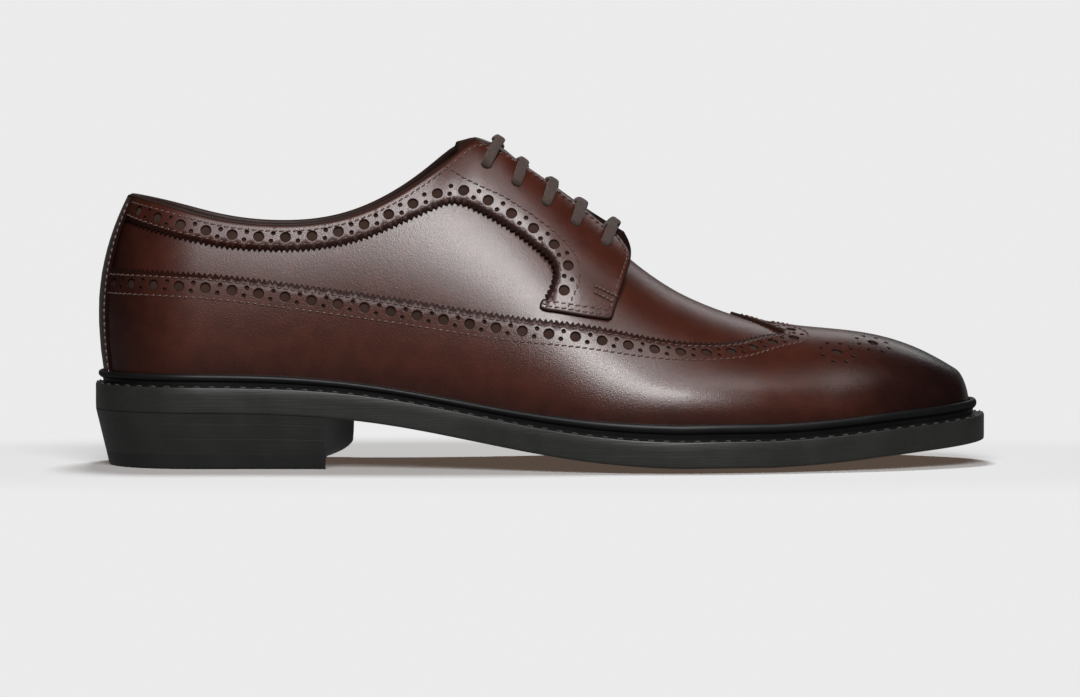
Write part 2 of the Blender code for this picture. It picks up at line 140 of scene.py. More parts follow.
# Opening, facings and tongue, repeated from the part's source
THROAT_X = 182.0
THROAT_HALF_GAP = 6.0
FACING_TOP_X = 130.0
FACING_FRONT_X = 177.5
FACING_TOP_HALF_GAP = 7.2
FACING_THICKNESS = 2.0
FACING_LIFT = 0.4
FACING_FRONT_LIFT = {LATERAL: 2.4, MEDIAL: 6.0}
TONGUE_THICKNESS = 2.0
TONGUE_FRONT_X = 190.0
TONGUE_TOP_X = 123.0
TONGUE_HALF_WIDTH_FRONT = 17.0
TONGUE_HALF_WIDTH_TOP = 25.0

# Bars of the lace from the top row down: x at the lacing edge and at the eyelet, the eyelet's distance from
# that edge, and how high the bar arches over it
LaceBar = namedtuple("LaceBar", "x eyelet_x from_edge arch")
LACE_BARS = (
    LaceBar(134.4, 131.5, 7.0, 3.3),
    LaceBar(143.4, 141.5, 8.2, 0.8),
    LaceBar(153.0, 151.4, 9.1, 1.0),
    LaceBar(162.2, 161.0, 9.4, 0.8),
    LaceBar(172.0, 170.8, 9.0, 1.3),
)

# Leather pattern pieces: the outer envelope is the last's surface, and the base skin lies one layer below it
OVERLAY = 0.9
SOFT_EDGE = 0.28
EDGE_TURN = 0.4
EDGE_BAND = 1.1
PATTERN_STEP = 2.6
SHEET_HALF = 70.0
SLOPE_STEP = 0.05

# Broguing: distances from the tips of the gimped edge, and sizes of the punches
GIMP_PITCH = 1.85
GIMP_DEPTH = 1.15
ROW_OUTER = 2.4
ROW_HOLES = 5.2
ROW_INNER = 8.8
BIG_HOLE = 1.72
SMALL_HOLE = 0.64
SMALL_HOLE_APART = 1.4
SMALL_HOLE_SKEW = 0.35
HOLE_PITCH = 9.05

# Thread
STITCH_PITCH = 2.35
STITCH_LENGTH = 1.95
STITCH_RADIUS = 0.30
STITCH_MARGIN = 1.0
STITCH_SLANT = radians(11)


def natural_spline(rows, column):
    """A smooth curve of one table column over x, with no curvature at its ends."""
    xs = np.array([row.x for row in rows], float)
    ys = np.array([getattr(row, column) for row in rows], float)
    steps = np.diff(xs)
    slopes = np.diff(ys) / steps
    system = np.eye(len(xs))
    right = np.zeros(len(xs))
    for i in range(1, len(xs) - 1):
        system[i, i - 1 : i + 2] = steps[i - 1], 2 * (steps[i - 1] + steps[i]), steps[i]
        right[i] = 6 * (slopes[i] - slopes[i - 1])
    bends = np.linalg.solve(system, right)

    def curve(x):
        x = np.asarray(x, float)
        i = np.clip(np.searchsorted(xs, x) - 1, 0, len(steps) - 1)
        ahead = (xs[i + 1] - x) / steps[i]
        behind = (x - xs[i]) / steps[i]
        bent = (ahead**3 - ahead) * bends[i] + (behind**3 - behind) * bends[i + 1]
        return ahead * ys[i] + behind * ys[i + 1] + bent * steps[i] ** 2 / 6

    return curve


LAST = {name: natural_spline(SECTIONS, name) for name in Section._fields[1:]}
seat_spline = natural_spline(SEAT_LINE, "height")
sole_margin = natural_spline(RAND, "margin")
bead_height = natural_spline(RAND, "bead")
collar_lateral = natural_spline(COLLAR_LINE, "lateral")
collar_medial = natural_spline(COLLAR_LINE, "medial")


def smooth_step(x, start, end):
    """0 before start, 1 after end, and an even rise between them."""
    share = np.clip((np.asarray(x, float) - start) / (end - start), 0, 1)
    return share * share * (3 - 2 * share)


def hump(x, rise, fall, height=1.0):
    """A height over a stretch of x: it grows over the span of its rise and fades over that of its fall."""
    return height * smooth_step(x, *rise) * (1 - smooth_step(x, *fall))


def unit(vectors):
    length = np.linalg.norm(vectors, axis=-1, keepdims=True)
    return vectors / np.maximum(length, 1e-9)


def rim_lift(x):
    """How far the sole's rim stands off the floor beside the ball, where its underside is crowned."""
    return hump(x, RIM_LIFT_REAR, RIM_LIFT_FRONT, RIM_LIFT)


def seat_height(x):
    """Top of the welt: level where the forefoot stands on the floor, but for the rim's lift."""
    return np.maximum(SEAT_LOWEST, seat_spline(x)) + rim_lift(x)


def closing(x, start, power):
    """Share left of a size that runs out to nothing at the toe's tip along a rounded end."""
    along = np.clip((x - start) / (LAST_LENGTH - start), 0, 1)
    return (1 - along**power) ** (1 / power)


def heel_back(height):
    """How far forward of the heel seat's back the heel's profile lies, at a height above the seat."""
    lean = np.where(height > HEEL_BULGE_HEIGHT, HEEL_LEAN_ABOVE, HEEL_LEAN_BELOW)
    return -HEEL_BULGE + lean * (height - HEEL_BULGE_HEIGHT) ** 2


def section_point(x, t, side):
    """Half width from the middle line and height above the seat, t running from the welt to the ridge."""
    narrowing = closing(x, TOE_CLOSING, TOE_SQUARENESS)
    width = np.where(side < 0, LAST["lateral"](x), LAST["medial"](x)) * narrowing
    bulge = LAST["bulge"](x) * narrowing
    height = (LAST["height"](x) - rim_lift(x)) * closing(x, LAST_LENGTH - NOSE_LENGTH, NOSE_ROUNDNESS)
    wall, crown = LAST["wall"](x), LAST["crown"](x)
    foot, low, high, top = (1 - t) ** 3, 3 * (1 - t) ** 2 * t, 3 * (1 - t) * t**2, t**3
    across = foot * width + low * (width + bulge) + high * crown * width
    up = (low * wall + high + top) * height
    return across, up


def last_point(u, t, side):
    """Points of the upper's outer surface. u runs along x and, behind HEEL_SWING, round the heel."""
    u, t, side = np.broadcast_arrays(*(np.asarray(value, float) for value in (u, t, side)))
    section_x = np.maximum(u, HEEL_SWING)
    across, up = section_point(section_x, t, side)
    angle = pi / 2 * np.clip(u, 0, HEEL_SWING) / HEEL_SWING
    heel = u < HEEL_SWING
    swung = HEEL_SWING - (HEEL_SWING - heel_back(up)) * np.abs(np.cos(angle)) ** (2 / HEEL_ROUNDNESS)
    x = np.where(heel, swung, section_x)
    across = np.where(heel, across * np.sin(angle) ** (2 / HEEL_ROUNDNESS), across)
    return np.stack((x, LAST["swing"](section_x) + side * across, seat_height(x) + GAP + up), -1)


def solve_t(measure, like, low=0.0, high=1.0):
    """The t at which a measure that rises with t passes zero, for every place at once."""
    low, high = np.full(np.shape(like), low), np.full(np.shape(like), high)
    for _ in range(36):
        middle = (low + high) / 2
        above = measure(middle) > 0
        high = np.where(above, middle, high)
        low = np.where(above, low, middle)
    return (low + high) / 2


def t_at_height(u, side, height):
    u = np.asarray(u, float)
    return solve_t(lambda t: last_point(u, t, side)[..., 2] - height, u)


def t_at_half_width(u, side, half_width):
    """t near the ridge where the surface is this far from the middle line."""
    u = np.asarray(u, float)
    return solve_t(lambda t: half_width - section_point(np.maximum(u, HEEL_SWING), t, side)[0], u, low=0.4)


def half_gap(u):
    """Half the gap between the facings. In front of the throat it narrows with the toe."""
    share = np.clip((u - FACING_TOP_X) / (THROAT_X - FACING_TOP_X), 0, 1)
    gap = FACING_TOP_HALF_GAP + (THROAT_HALF_GAP - FACING_TOP_HALF_GAP) * share
    return gap * closing(u, THROAT_X, 2)


# Flat drawings: p runs along the shoe and q across it, both close to millimetres
TOE_REACH = LAST_LENGTH - TOE_CLOSING
FLAT_TOE_TIP = TOE_CLOSING + TOE_REACH * pi / 2


def u_of_flat(p):
    """u from a flat drawing's p, which goes round the toe by its angle."""
    angle = np.clip((p - TOE_CLOSING) / TOE_REACH, 0, pi / 2)
    return np.where(p > TOE_CLOSING, TOE_CLOSING + TOE_REACH * np.sin(angle), p)


def flat_of_u(u):
    angle = np.arcsin(np.clip((u - TOE_CLOSING) / TOE_REACH, 0, 1))
    return np.where(u > TOE_CLOSING, TOE_CLOSING + TOE_REACH * angle, u)


def over_ridge(p, q):
    """The drawing laid over the ridge: lateral welt at q = -SHEET_HALF, medial welt at +SHEET_HALF."""
    return u_of_flat(p), 1 - np.abs(q) / SHEET_HALF, np.where(q < 0, LATERAL, MEDIAL)


def round_heel(p, q):
    """The drawing laid round the back of the heel: lateral side at p > 0, q up from the welt."""
    return np.abs(p), q / SHEET_HALF, np.where(p > 0, LATERAL, MEDIAL)


def flat_side(u, t, side):
    """Flat points of the drawing over the ridge for places on one side."""
    u, t = np.broadcast_arrays(np.asarray(u, float), np.asarray(t, float))
    return np.stack((flat_of_u(u), side * (1 - t) * SHEET_HALF), -1)


class Sheet:
    """A flat drawing laid on the last."""

    def __init__(self, place):
        self.place = place

    def point(self, flat):
        return last_point(*self.place(flat[..., 0], flat[..., 1]))

    def rise(self, flat):
        """Height above the welt."""
        point = self.point(flat)
        return point[..., 2] - seat_height(point[..., 0])

    def slopes(self, flat, surface=None):
        surface = surface or self.point
        step_p, step_q = np.array((SLOPE_STEP, 0.0)), np.array((0.0, SLOPE_STEP))
        along = (surface(flat + step_p) - surface(flat - step_p)) / (2 * SLOPE_STEP)
        around = (surface(flat + step_q) - surface(flat - step_q)) / (2 * SLOPE_STEP)
        return along, around

    def normal(self, flat):
        return unit(np.cross(*self.slopes(flat)))

    def lifted(self, flat, lift):
        return self.point(flat) + np.asarray(lift)[..., None] * self.normal(flat)

    def lifted_normal(self, flat, lift):
        """Outward directions of the surface that a lift function makes."""
        return unit(np.cross(*self.slopes(flat, lambda place: self.lifted(place, lift(place)))))

    def shift(self, flat, move):
        """The flat points reached by moving along the shoe by short vectors in space."""
        along, around = self.slopes(flat)
        aa, ab, bb = (along * along).sum(-1), (along * around).sum(-1), (around * around).sum(-1)
        ma, mb = (along * move).sum(-1), (around * move).sum(-1)
        scale = np.maximum(aa * bb - ab * ab, 1e-6)
        return flat + np.stack(((bb * ma - ab * mb) / scale, (aa * mb - ab * ma) / scale), -1)

    def walk(self, flat, direction, distance, steps=6):
        """Flat points reached by walking over the surface in a direction."""
        for _ in range(steps):
            normal = self.normal(flat)
            level = unit(direction - (direction * normal).sum(-1, keepdims=True) * normal)
            flat = self.shift(flat, level * distance / steps)
        return flat


UPPER = Sheet(over_ridge)
HEEL = Sheet(round_heel)


def polyline_lengths(points):
    return np.concatenate(([0.0], np.cumsum(np.linalg.norm(np.diff(points, axis=0), axis=1))))


def resample(sheet, flat, step, start=0.0, end=0.0):
    """Flat points at even distances along a line on the shoe."""
    run = polyline_lengths(sheet.point(flat))
    count = max(2, int(round((run[-1] - start - end) / step)) + 1)
    places = np.linspace(start, run[-1] - end, count)
    return np.stack([np.interp(places, run, flat[:, i]) for i in (0, 1)], -1)


def smooth_line(flat):
    """A smooth curve through a few flat points, by their distances apart, as many close points."""
    run = polyline_lengths(np.asarray(flat, float))
    Knot = namedtuple("Knot", "x p q")
    knots = [Knot(x, *place) for x, place in zip(run, flat)]
    places = np.linspace(0, run[-1], int(run[-1] / 0.5) + 2)
    return np.stack([natural_spline(knots, name)(places) for name in ("p", "q")], -1)


class Edge:
    """A line on the shoe with its leather on the left, made of smooth stretches that meet at corners."""

    FAN = 14

    def __init__(self, sheet, stretches):
        self.sheet = sheet
        flats, directions = [], []
        for stretch in stretches:
            flat = resample(sheet, stretch, 0.4)
            points = sheet.point(flat)
            tangent = unit(np.gradient(points, axis=0))
            if flats:
                before, after = directions[-1][-1], tangent[0]
                shares = np.linspace(0, 1, self.FAN)[:, None]
                flats.append(np.repeat(flat[:1], self.FAN, axis=0))
                directions.append(unit(before + (after - before) * shares))
            flats.append(flat)
            directions.append(tangent)
        self.flat = np.concatenate(flats)
        self.tangent = np.concatenate(directions)
        self.points = sheet.point(self.flat)
        self.inward = np.cross(sheet.normal(self.flat), self.tangent)

    def row(self, depth):
        """The line at a distance inside the edge, without the places that lie nearer to another stretch."""
        flat = self.sheet.walk(self.flat, self.inward, depth)
        points = self.sheet.point(flat)
        nearest = np.array([np.linalg.norm(self.points - point, axis=1).min() for point in points])
        return flat[nearest > 0.93 * depth]

    def gimped(self):
        """The edge cut into teeth, as flat points."""
        keep = np.concatenate(([True], np.linalg.norm(np.diff(self.points, axis=0), axis=1) > 1e-6))
        run = polyline_lengths(self.points[keep])
        count = 2 * int(round(run[-1] / GIMP_PITCH))
        places = np.linspace(0, run[-1], count + 1)
        index = np.clip(np.searchsorted(run, places), 0, len(run) - 1)
        flat, inward = self.flat[keep][index], self.inward[keep][index]
        roots = self.sheet.shift(flat, inward * GIMP_DEPTH)
        is_tip = np.arange(count + 1) % 2 == 0
        teeth = np.where(is_tip[:, None], flat, roots)
        nearest = np.array([np.linalg.norm(self.points - p, axis=1).min() for p in self.sheet.point(roots)])
        from_end = np.minimum(places, run[-1] - places)
        fits = is_tip | ((nearest > 0.7 * GIMP_DEPTH) & (from_end > 1.6 * GIMP_DEPTH))
        return teeth[fits]


def footprint_middle():
    """The middle of the sole's box, seen from above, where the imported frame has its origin."""
    u, side = ring_stations(4.0)
    base, outward = outline_frame(u, side)
    outline = base + sole_margin(u)[:, None] * outward
    middle = (outline.min(axis=0) + outline.max(axis=0)) / 2
    return np.array((middle[0], middle[1], 0.0))


def outline_frame(u, side):
    """Points of the upper's lower edge and the level directions straight out from it."""
    u, side = np.broadcast_arrays(np.asarray(u, float), np.asarray(side, float))
    step = 0.2
    ahead = last_point(np.minimum(u + step, LAST_LENGTH), 0, side)
    behind = last_point(np.maximum(u - step, 0), 0, side)
    along = ahead - behind
    outward = np.stack((-along[..., 1], along[..., 0], np.zeros_like(u)), -1) * side[..., None]
    outward = unit(outward)
    outward[u <= 0] = (-1, 0, 0)
    outward[u >= LAST_LENGTH] = (1, 0, 0)
    return last_point(u, 0, side), outward


def wall_offset(u, side, up):
    """How far out the wall has leaned at a height above its lower edge."""
    base, outward = outline_frame(u, side)
    t = t_at_height(u, side, base[..., 2] + up)
    return np.maximum(0.0, ((last_point(u, t, side) - base) * outward).sum(-1))


def ring_stations(step):
    """u and side at even distances once round the sole: the lateral side first, then the medial side back."""
    runs = []
    for side in (LATERAL, MEDIAL):
        u = u_of_flat(np.linspace(0, FLAT_TOE_TIP, 3000))
        u[-1] = LAST_LENGTH
        base, outward = outline_frame(u, side)
        run = polyline_lengths(base + sole_margin(u)[:, None] * outward)
        count = int(round(run[-1] / step))
        runs.append(np.interp(np.linspace(0, run[-1], count + 1), run, u))
    us = np.concatenate((runs[0], runs[1][-2:0:-1]))
    sides = np.concatenate((np.full(len(runs[0]), LATERAL), np.full(len(runs[1]) - 2, MEDIAL)))
    return us, sides


ORIGIN = footprint_middle()


def metres(points):
    return (np.asarray(points, float).reshape(-1, 3) - ORIGIN) * MM


# Making of meshes
def add_piece(name, points, faces, surfaces, normals=None, face_surfaces=None, marks=None, sharp=40):
    """A mesh object that rides with the shoe. marks are named values at its points, for the materials."""
    mesh = bpy.data.meshes.new(name)
    mesh.from_pydata(metres(points).tolist(), [], faces)
    for surface in surfaces:
        mesh.materials.append(surface)
    if face_surfaces is not None:
        mesh.polygons.foreach_set("material_index", np.asarray(face_surfaces, np.int32))
    for mark, values in (marks or {}).items():
        mesh.attributes.new(mark, "FLOAT", "POINT").data.foreach_set("value", np.asarray(values, np.float32))
    mesh.shade_smooth()
    if normals is None:
        mesh.set_sharp_from_angle(angle=radians(sharp))
    else:
        mesh.normals_split_custom_set_from_vertices(np.asarray(normals).tolist())
    piece = bpy.data.objects.new(name, mesh)
    bpy.context.scene.collection.objects.link(piece)
    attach(piece, "root")
    return piece


def grid_faces(rows, columns, start=0, close_rows=False, close_columns=False, flip=False):
    """Quads over a table of points that are numbered row by row."""
    i, j = np.meshgrid(
        np.arange(rows if close_rows else rows - 1), np.arange(columns if close_columns else columns - 1),
        indexing="ij",
    )
    below, beside = (i + 1) % rows, (j + 1) % columns
    corners = (i * columns + j, below * columns + j, below * columns + beside, i * columns + beside)
    quads = np.stack(corners, -1).reshape(-1, 4) + start
    return (quads[:, ::-1] if flip else quads).tolist()


def inside_loop(loop, places):
    """Which flat places lie inside a closed loop of flat points."""
    inside = np.zeros(len(places), bool)
    for (ax, ay), (bx, by) in zip(loop, np.roll(loop, -1, axis=0)):
        if ay != by:
            crosses = (ay > places[:, 1]) != (by > places[:, 1])
            inside ^= crosses & (places[:, 0] < (bx - ax) * (places[:, 1] - ay) / (by - ay) + ax)
    return inside


def leather_side(sheet, loop):
    """At each point of a closed loop, the direction to the leather on its left, longer at sharp corners."""
    points, normal = sheet.point(loop), sheet.normal(loop)
    ahead = unit(np.roll(points, -1, axis=0) - points)
    behind = np.roll(ahead, 1, axis=0)
    left_ahead, left_behind = unit(np.cross(normal, ahead)), unit(np.cross(normal, behind))
    middle = unit(left_ahead + left_behind)
    return middle / np.maximum((middle * left_ahead).sum(-1, keepdims=True), 0.45)


Hole = namedtuple("Hole", "place radius")


def hole_loop(sheet, hole, radius):
    """A clockwise ring of flat points round a hole, so that its leather is on the left."""
    count = 18 if radius > 1.2 else 10
    angles = -np.arange(count) * 2 * pi / count
    place = np.repeat(np.asarray(hole.place, float)[None], count, axis=0)
    normal = sheet.normal(place)
    along = unit(sheet.slopes(place)[0])
    across = np.cross(normal, along)
    return sheet.shift(place, radius * (np.cos(angles)[:, None] * along + np.sin(angles)[:, None] * across))


def staggered_grid(low, high, step):
    """Flat points in rows, each row half a step on from the one before it."""
    rows = []
    for i, q in enumerate(np.arange(low[1], high[1], step)):
        p = np.arange(low[0] + step / 2 * (i % 2), high[0], step)
        rows.append(np.stack((p, np.full(len(p), q)), -1))
    return np.concatenate(rows)


def cut_piece(name, sheet, outline, holes, lift, thickness, surface, step=PATTERN_STEP, edge_dye=0.85):
    """A pattern piece of leather with punched holes, softened edges and lining leather on its inside.

    outline is a counter-clockwise loop of flat points, lift gives the height of the outer face above the
    last, and thickness, a number or a function of flat points, is measured down from there. edge_dye is how
    dark the dye is along the outline, as one number or one for each of its points.
    """
    loops = [outline] + [hole_loop(sheet, hole, hole.radius) for hole in holes]
    soft = [sheet.shift(outline, leather_side(sheet, outline) * SOFT_EDGE)]
    soft += [hole_loop(sheet, hole, hole.radius + SOFT_EDGE) for hole in holes]
    soft_flat = np.concatenate(soft)
    band = sheet.shift(outline, unit(leather_side(sheet, outline)) * EDGE_BAND)
    gaps = np.array([np.linalg.norm(sheet.point(soft_flat) - p, axis=1).min() for p in sheet.point(band)])
    band = band[(gaps > 0.9 * (EDGE_BAND - SOFT_EDGE)) & inside_loop(soft[0], band)]

    grid = staggered_grid(outline.min(axis=0), outline.max(axis=0), step)
    grid = grid[inside_loop(soft[0], grid)]
    crowded = np.zeros(len(grid), bool)
    for block in np.array_split(np.arange(len(grid)), max(1, len(grid) // 400)):
        gaps = np.linalg.norm(grid[block, None] - np.concatenate((soft_flat, band))[None], axis=2).min(axis=1)
        crowded[block] = gaps < 0.38 * step
    for hole, ring in zip(holes, soft[1:]):
        crowded |= np.linalg.norm(grid - hole.place, axis=1) < np.linalg.norm(ring - hole.place, axis=1).max()
    top_flat = np.concatenate((soft_flat, band, grid[~crowded]))

    edges, owner = [], np.full(len(top_flat), -1)
    starts = np.concatenate(([0], np.cumsum([len(loop) for loop in soft])))
    for k, loop in enumerate(soft):
        ids = np.arange(starts[k], starts[k + 1])
        owner[ids] = k
        edges += np.stack((ids, np.roll(ids, -1)), -1).tolist()
    made = delaunay_2d_cdt([Vector(place) for place in top_flat], edges, [], 0, 1e-6, True)
    origin = np.array([ids[0] if ids else -1 for ids in made[3]])
    triangles = origin[np.array([face for face in made[2] if len(face) == 3])]
    triangles = triangles[(triangles >= 0).all(axis=1)]
    corners = owner[triangles]
    in_hole = (corners[:, 0] > 0) & (corners[:, 0] == corners[:, 1]) & (corners[:, 0] == corners[:, 2])
    triangles = triangles[~in_hole & inside_loop(soft[0], top_flat[triangles].mean(axis=1))]

    rim_flat = np.concatenate(loops)
    depth = thickness if callable(thickness) else lambda flat: np.full(len(flat), thickness)
    away = -unit(np.concatenate([leather_side(sheet, loop) for loop in loops]))
    top_normal, rim_normal = sheet.lifted_normal(top_flat, lift), sheet.lifted_normal(rim_flat, lift)
    points = np.concatenate((
        sheet.lifted(rim_flat, lift(rim_flat) - 0.6 * SOFT_EDGE),
        sheet.lifted(top_flat, lift(top_flat)),
        sheet.lifted(rim_flat, lift(rim_flat) - depth(rim_flat)),
        sheet.lifted(top_flat, lift(top_flat) - depth(top_flat)),
    ))
    turned = top_normal.copy()
    turned[: len(outline)] = unit(turned[: len(outline)] + EDGE_TURN * away[: len(outline)])
    normals = np.concatenate((unit(rim_normal + 0.9 * away), turned, away, -top_normal))
    rims, tops = len(rim_flat), len(top_flat)
    faces = (triangles + rims).tolist() + (triangles[:, ::-1] + 2 * rims + tops).tolist()
    for k in range(len(loops)):
        i = np.arange(starts[k], starts[k + 1])
        j = np.roll(i, -1)
        shoulder = np.stack((i, j, j + rims, i + rims), -1)
        wall = np.stack((i + rims + tops, j + rims + tops, j, i), -1)
        under = np.stack((i + 2 * rims + tops, j + 2 * rims + tops, j + rims + tops, i + rims + tops), -1)
        faces += np.concatenate((shoulder, wall, under)).tolist()
    dye = np.zeros(tops)
    dye[: len(outline)] = edge_dye
    cut = np.concatenate((np.ones(rims), dye, np.ones(rims), np.ones(tops)))
    flats = np.concatenate((rim_flat, top_flat, rim_flat, top_flat))
    marks = {"cut_edge": cut, "above_welt": sheet.rise(flats) * MM}
    inside = np.zeros(len(faces), int)
    inside[len(triangles) : 2 * len(triangles)] = 1
    return add_piece(
        name, points, faces, [surface, LINING], normals=normals, face_surfaces=inside, marks=marks,
    )


class Seams:
    """Stitches gathered from many rows, to be made as one mesh of threads."""

    def __init__(self):
        self.centres, self.tangents, self.normals = [], [], []

    def sew(self, sheet, row, lift, pitch=STITCH_PITCH, start=0.0, end=0.0, within=None):
        """Stitches along a row of flat points on a lifted surface, clear of the edge of the loop within."""
        flat = resample(sheet, row, pitch, start, end)
        points = sheet.lifted(flat, lift(flat))
        tangents, normals = unit(np.gradient(points, axis=0)), sheet.lifted_normal(flat, lift)
        if within is not None:
            edge = sheet.point(within)
            clear = np.array([np.linalg.norm(edge - point, axis=1).min() for point in sheet.point(flat)])
            kept = inside_loop(within, flat) & (clear > STITCH_MARGIN)
            points, tangents, normals = points[kept], tangents[kept], normals[kept]
        self.add(points, tangents, normals)

    def add(self, points, tangents, normals):
        self.centres.append(points)
        self.tangents.append(tangents)
        self.normals.append(normals)

    def make(self, name, surface, slot, length=STITCH_LENGTH, radius=STITCH_RADIUS, slant=STITCH_SLANT):
        """One bulged, dipping thread for each stitch."""
        centre, tangent, normal = (
            np.concatenate(values) for values in (self.centres, self.tangents, self.normals)
        )
        across = unit(np.cross(normal, tangent))
        along = cos(slant) * tangent + sin(slant) * across
        across = unit(np.cross(normal, along))
        stations = np.array((-1.0, -0.86, -0.45, 0.0, 0.45, 0.86, 1.0))
        girth = np.array((0.15, 0.66, 0.96, 1.0, 0.96, 0.66, 0.15)) * radius
        sink = -0.9 * radius * np.abs(stations) ** 3 + 0.35 * radius
        around = np.arange(6) * pi / 3
        x = stations[:, None] * length / 2 + 0 * around
        y = girth[:, None] * np.cos(around)
        z = sink[:, None] + girth[:, None] * np.sin(around)
        template = np.stack((x, y, z), -1).reshape(-1, 3)
        points = centre[:, None] + (
            template[None, :, :1] * along[:, None]
            + template[None, :, 1:2] * across[:, None]
            + template[None, :, 2:] * normal[:, None]
        )
        rows, columns = len(stations), len(around)
        unit_faces = np.array(grid_faces(rows, columns, close_columns=True, flip=True))
        shifts = np.arange(len(centre))[:, None, None] * rows * columns
        faces = (unit_faces[None] + shifts).reshape(-1, 4).tolist()
        return add_piece(name, points.reshape(-1, 3), faces, [surface], sharp=80)


class HoleShadeDiscs:
    """Dark discs of painted shade at the bottoms of punched holes, made as one mesh."""

    def __init__(self):
        self.rings = []

    def add(self, sheet, holes, lift):
        for hole in holes:
            ring = np.concatenate((hole_loop(sheet, hole, hole.radius + 0.5), np.array([hole.place])))
            self.rings.append(sheet.lifted(ring, lift(ring)))

    def make(self, name, surface, slot):
        points, faces, start = [], [], 0
        for ring in self.rings:
            count = len(ring) - 1
            points.append(ring)
            faces += [(start + (i + 1) % count, start + i, start + count) for i in range(count)]
            start += len(ring)
        return add_piece(name, np.concatenate(points), faces, [surface])


# Camera, at the photograph's viewing angle
IMAGE_WIDTH = 1080
PIXEL_SIZE = 0.3453
CAMERA_DISTANCE = 1500.0
CAMERA_PITCH = radians(2.8)
CAMERA_TARGET = np.array((150.2, 0.0, 39.5))


def make_camera():
    data = bpy.data.cameras.new("photo_camera")
    data.sensor_width = 36.0
    data.lens = CAMERA_DISTANCE / PIXEL_SIZE * data.sensor_width / IMAGE_WIDTH
    camera = bpy.data.objects.new("photo_camera", data)
    eye = CAMERA_TARGET + CAMERA_DISTANCE * np.array((0, -cos(CAMERA_PITCH), sin(CAMERA_PITCH)))
    camera.location = metres(eye)[0]
    camera.rotation_euler = (pi / 2 - CAMERA_PITCH, 0, 0)
    bpy.context.scene.collection.objects.link(camera)
    bpy.context.scene.camera = camera


# Materials
STREAK_SCALE = (0.035, 0.4, 1.0)


def node(tree, kind, inputs=None, **settings):
    """A new node with its settings, and its inputs set to values or joined to other nodes' outputs."""
    made = tree.nodes.new(kind)
    for key, value in settings.items():
        setattr(made, key, value)
    for key, value in (inputs or {}).items():
        if isinstance(value, bpy.types.NodeSocket):
            tree.links.new(value, made.inputs[key])
        else:
            made.inputs[key].default_value = value
    return made


def math_node(tree, operation, *values, clamp=False):
    made = node(tree, "ShaderNodeMath", dict(enumerate(values)), operation=operation, use_clamp=clamp)
    return made.outputs[0]


def ramp_between(tree, value, start, end, low=0.0, high=1.0):
    """A smooth change of a value from one level to another."""
    inputs = {"Value": value, "From Min": start, "From Max": end, "To Min": low, "To Max": high}
    return node(tree, "ShaderNodeMapRange", inputs, interpolation_type="SMOOTHSTEP").outputs[0]


def mix_colour(tree, share, first, second, blend="MIX"):
    inputs = {"Factor": share, 6: first, 7: second}
    return node(tree, "ShaderNodeMix", inputs, data_type="RGBA", blend_type=blend).outputs[2]


def object_place(tree):
    return node(tree, "ShaderNodeTexCoord").outputs["Object"]


def noise(tree, scale, detail):
    """Soft noise in the shoe's own space, around one half."""
    inputs = {"Vector": object_place(tree), "Scale": scale, "Detail": detail}
    return node(tree, "ShaderNodeTexNoise", inputs).outputs["Fac"]


def stretched_place(tree, scale):
    """Places in the shoe's own space, scaled along each axis."""
    inputs = {0: object_place(tree), 1: scale}
    return node(tree, "ShaderNodeVectorMath", inputs, operation="MULTIPLY").outputs[0]


def point_mark(tree, name):
    """The value that a mesh carries at its points under a name."""
    return node(tree, "ShaderNodeAttribute", attribute_name=name).outputs["Fac"]


def shader_group(name, inputs, outputs):
    """A node group with named sockets. Returns its tree, what comes in and what goes out."""
    tree = bpy.data.node_groups.new(name, "ShaderNodeTree")
    for socket, kind in inputs.items():
        tree.interface.new_socket(socket, in_out="INPUT", socket_type="NodeSocket" + kind)
    for socket, kind in outputs.items():
        tree.interface.new_socket(socket, in_out="OUTPUT", socket_type="NodeSocket" + kind)
    return tree, node(tree, "NodeGroupInput").outputs, node(tree, "NodeGroupOutput").inputs


def make_grain_group():
    """Fine pores and soft pebbles of leather, as a height."""
    sockets = {"Pores": "Float", "Pebbles": "Float"}
    tree, given, out = shader_group("leather_grain", sockets, {"Height": "Float"})
    cells = node(tree, "ShaderNodeTexVoronoi", {"Vector": object_place(tree), "Scale": given["Pores"]})
    pebbles = noise(tree, given["Pebbles"], 5.0)
    height = math_node(tree, "MULTIPLY_ADD", cells.outputs["Distance"], 0.45, pebbles)
    tree.links.new(height, out["Height"])
    return tree


def make_streak_group():
    """Long fine marks of brushing and polishing along the shoe, as a value around one half."""
    tree, given, out = shader_group("brush_streaks", {"Fineness": "Float"}, {"Value": "Float"})
    inputs = {"Vector": stretched_place(tree, STREAK_SCALE), "Scale": given["Fineness"]}
    marks = node(tree, "ShaderNodeTexNoise", inputs | {"Detail": 3.0, "Roughness": 0.6})
    tree.links.new(marks.outputs["Fac"], out["Value"])
    return tree


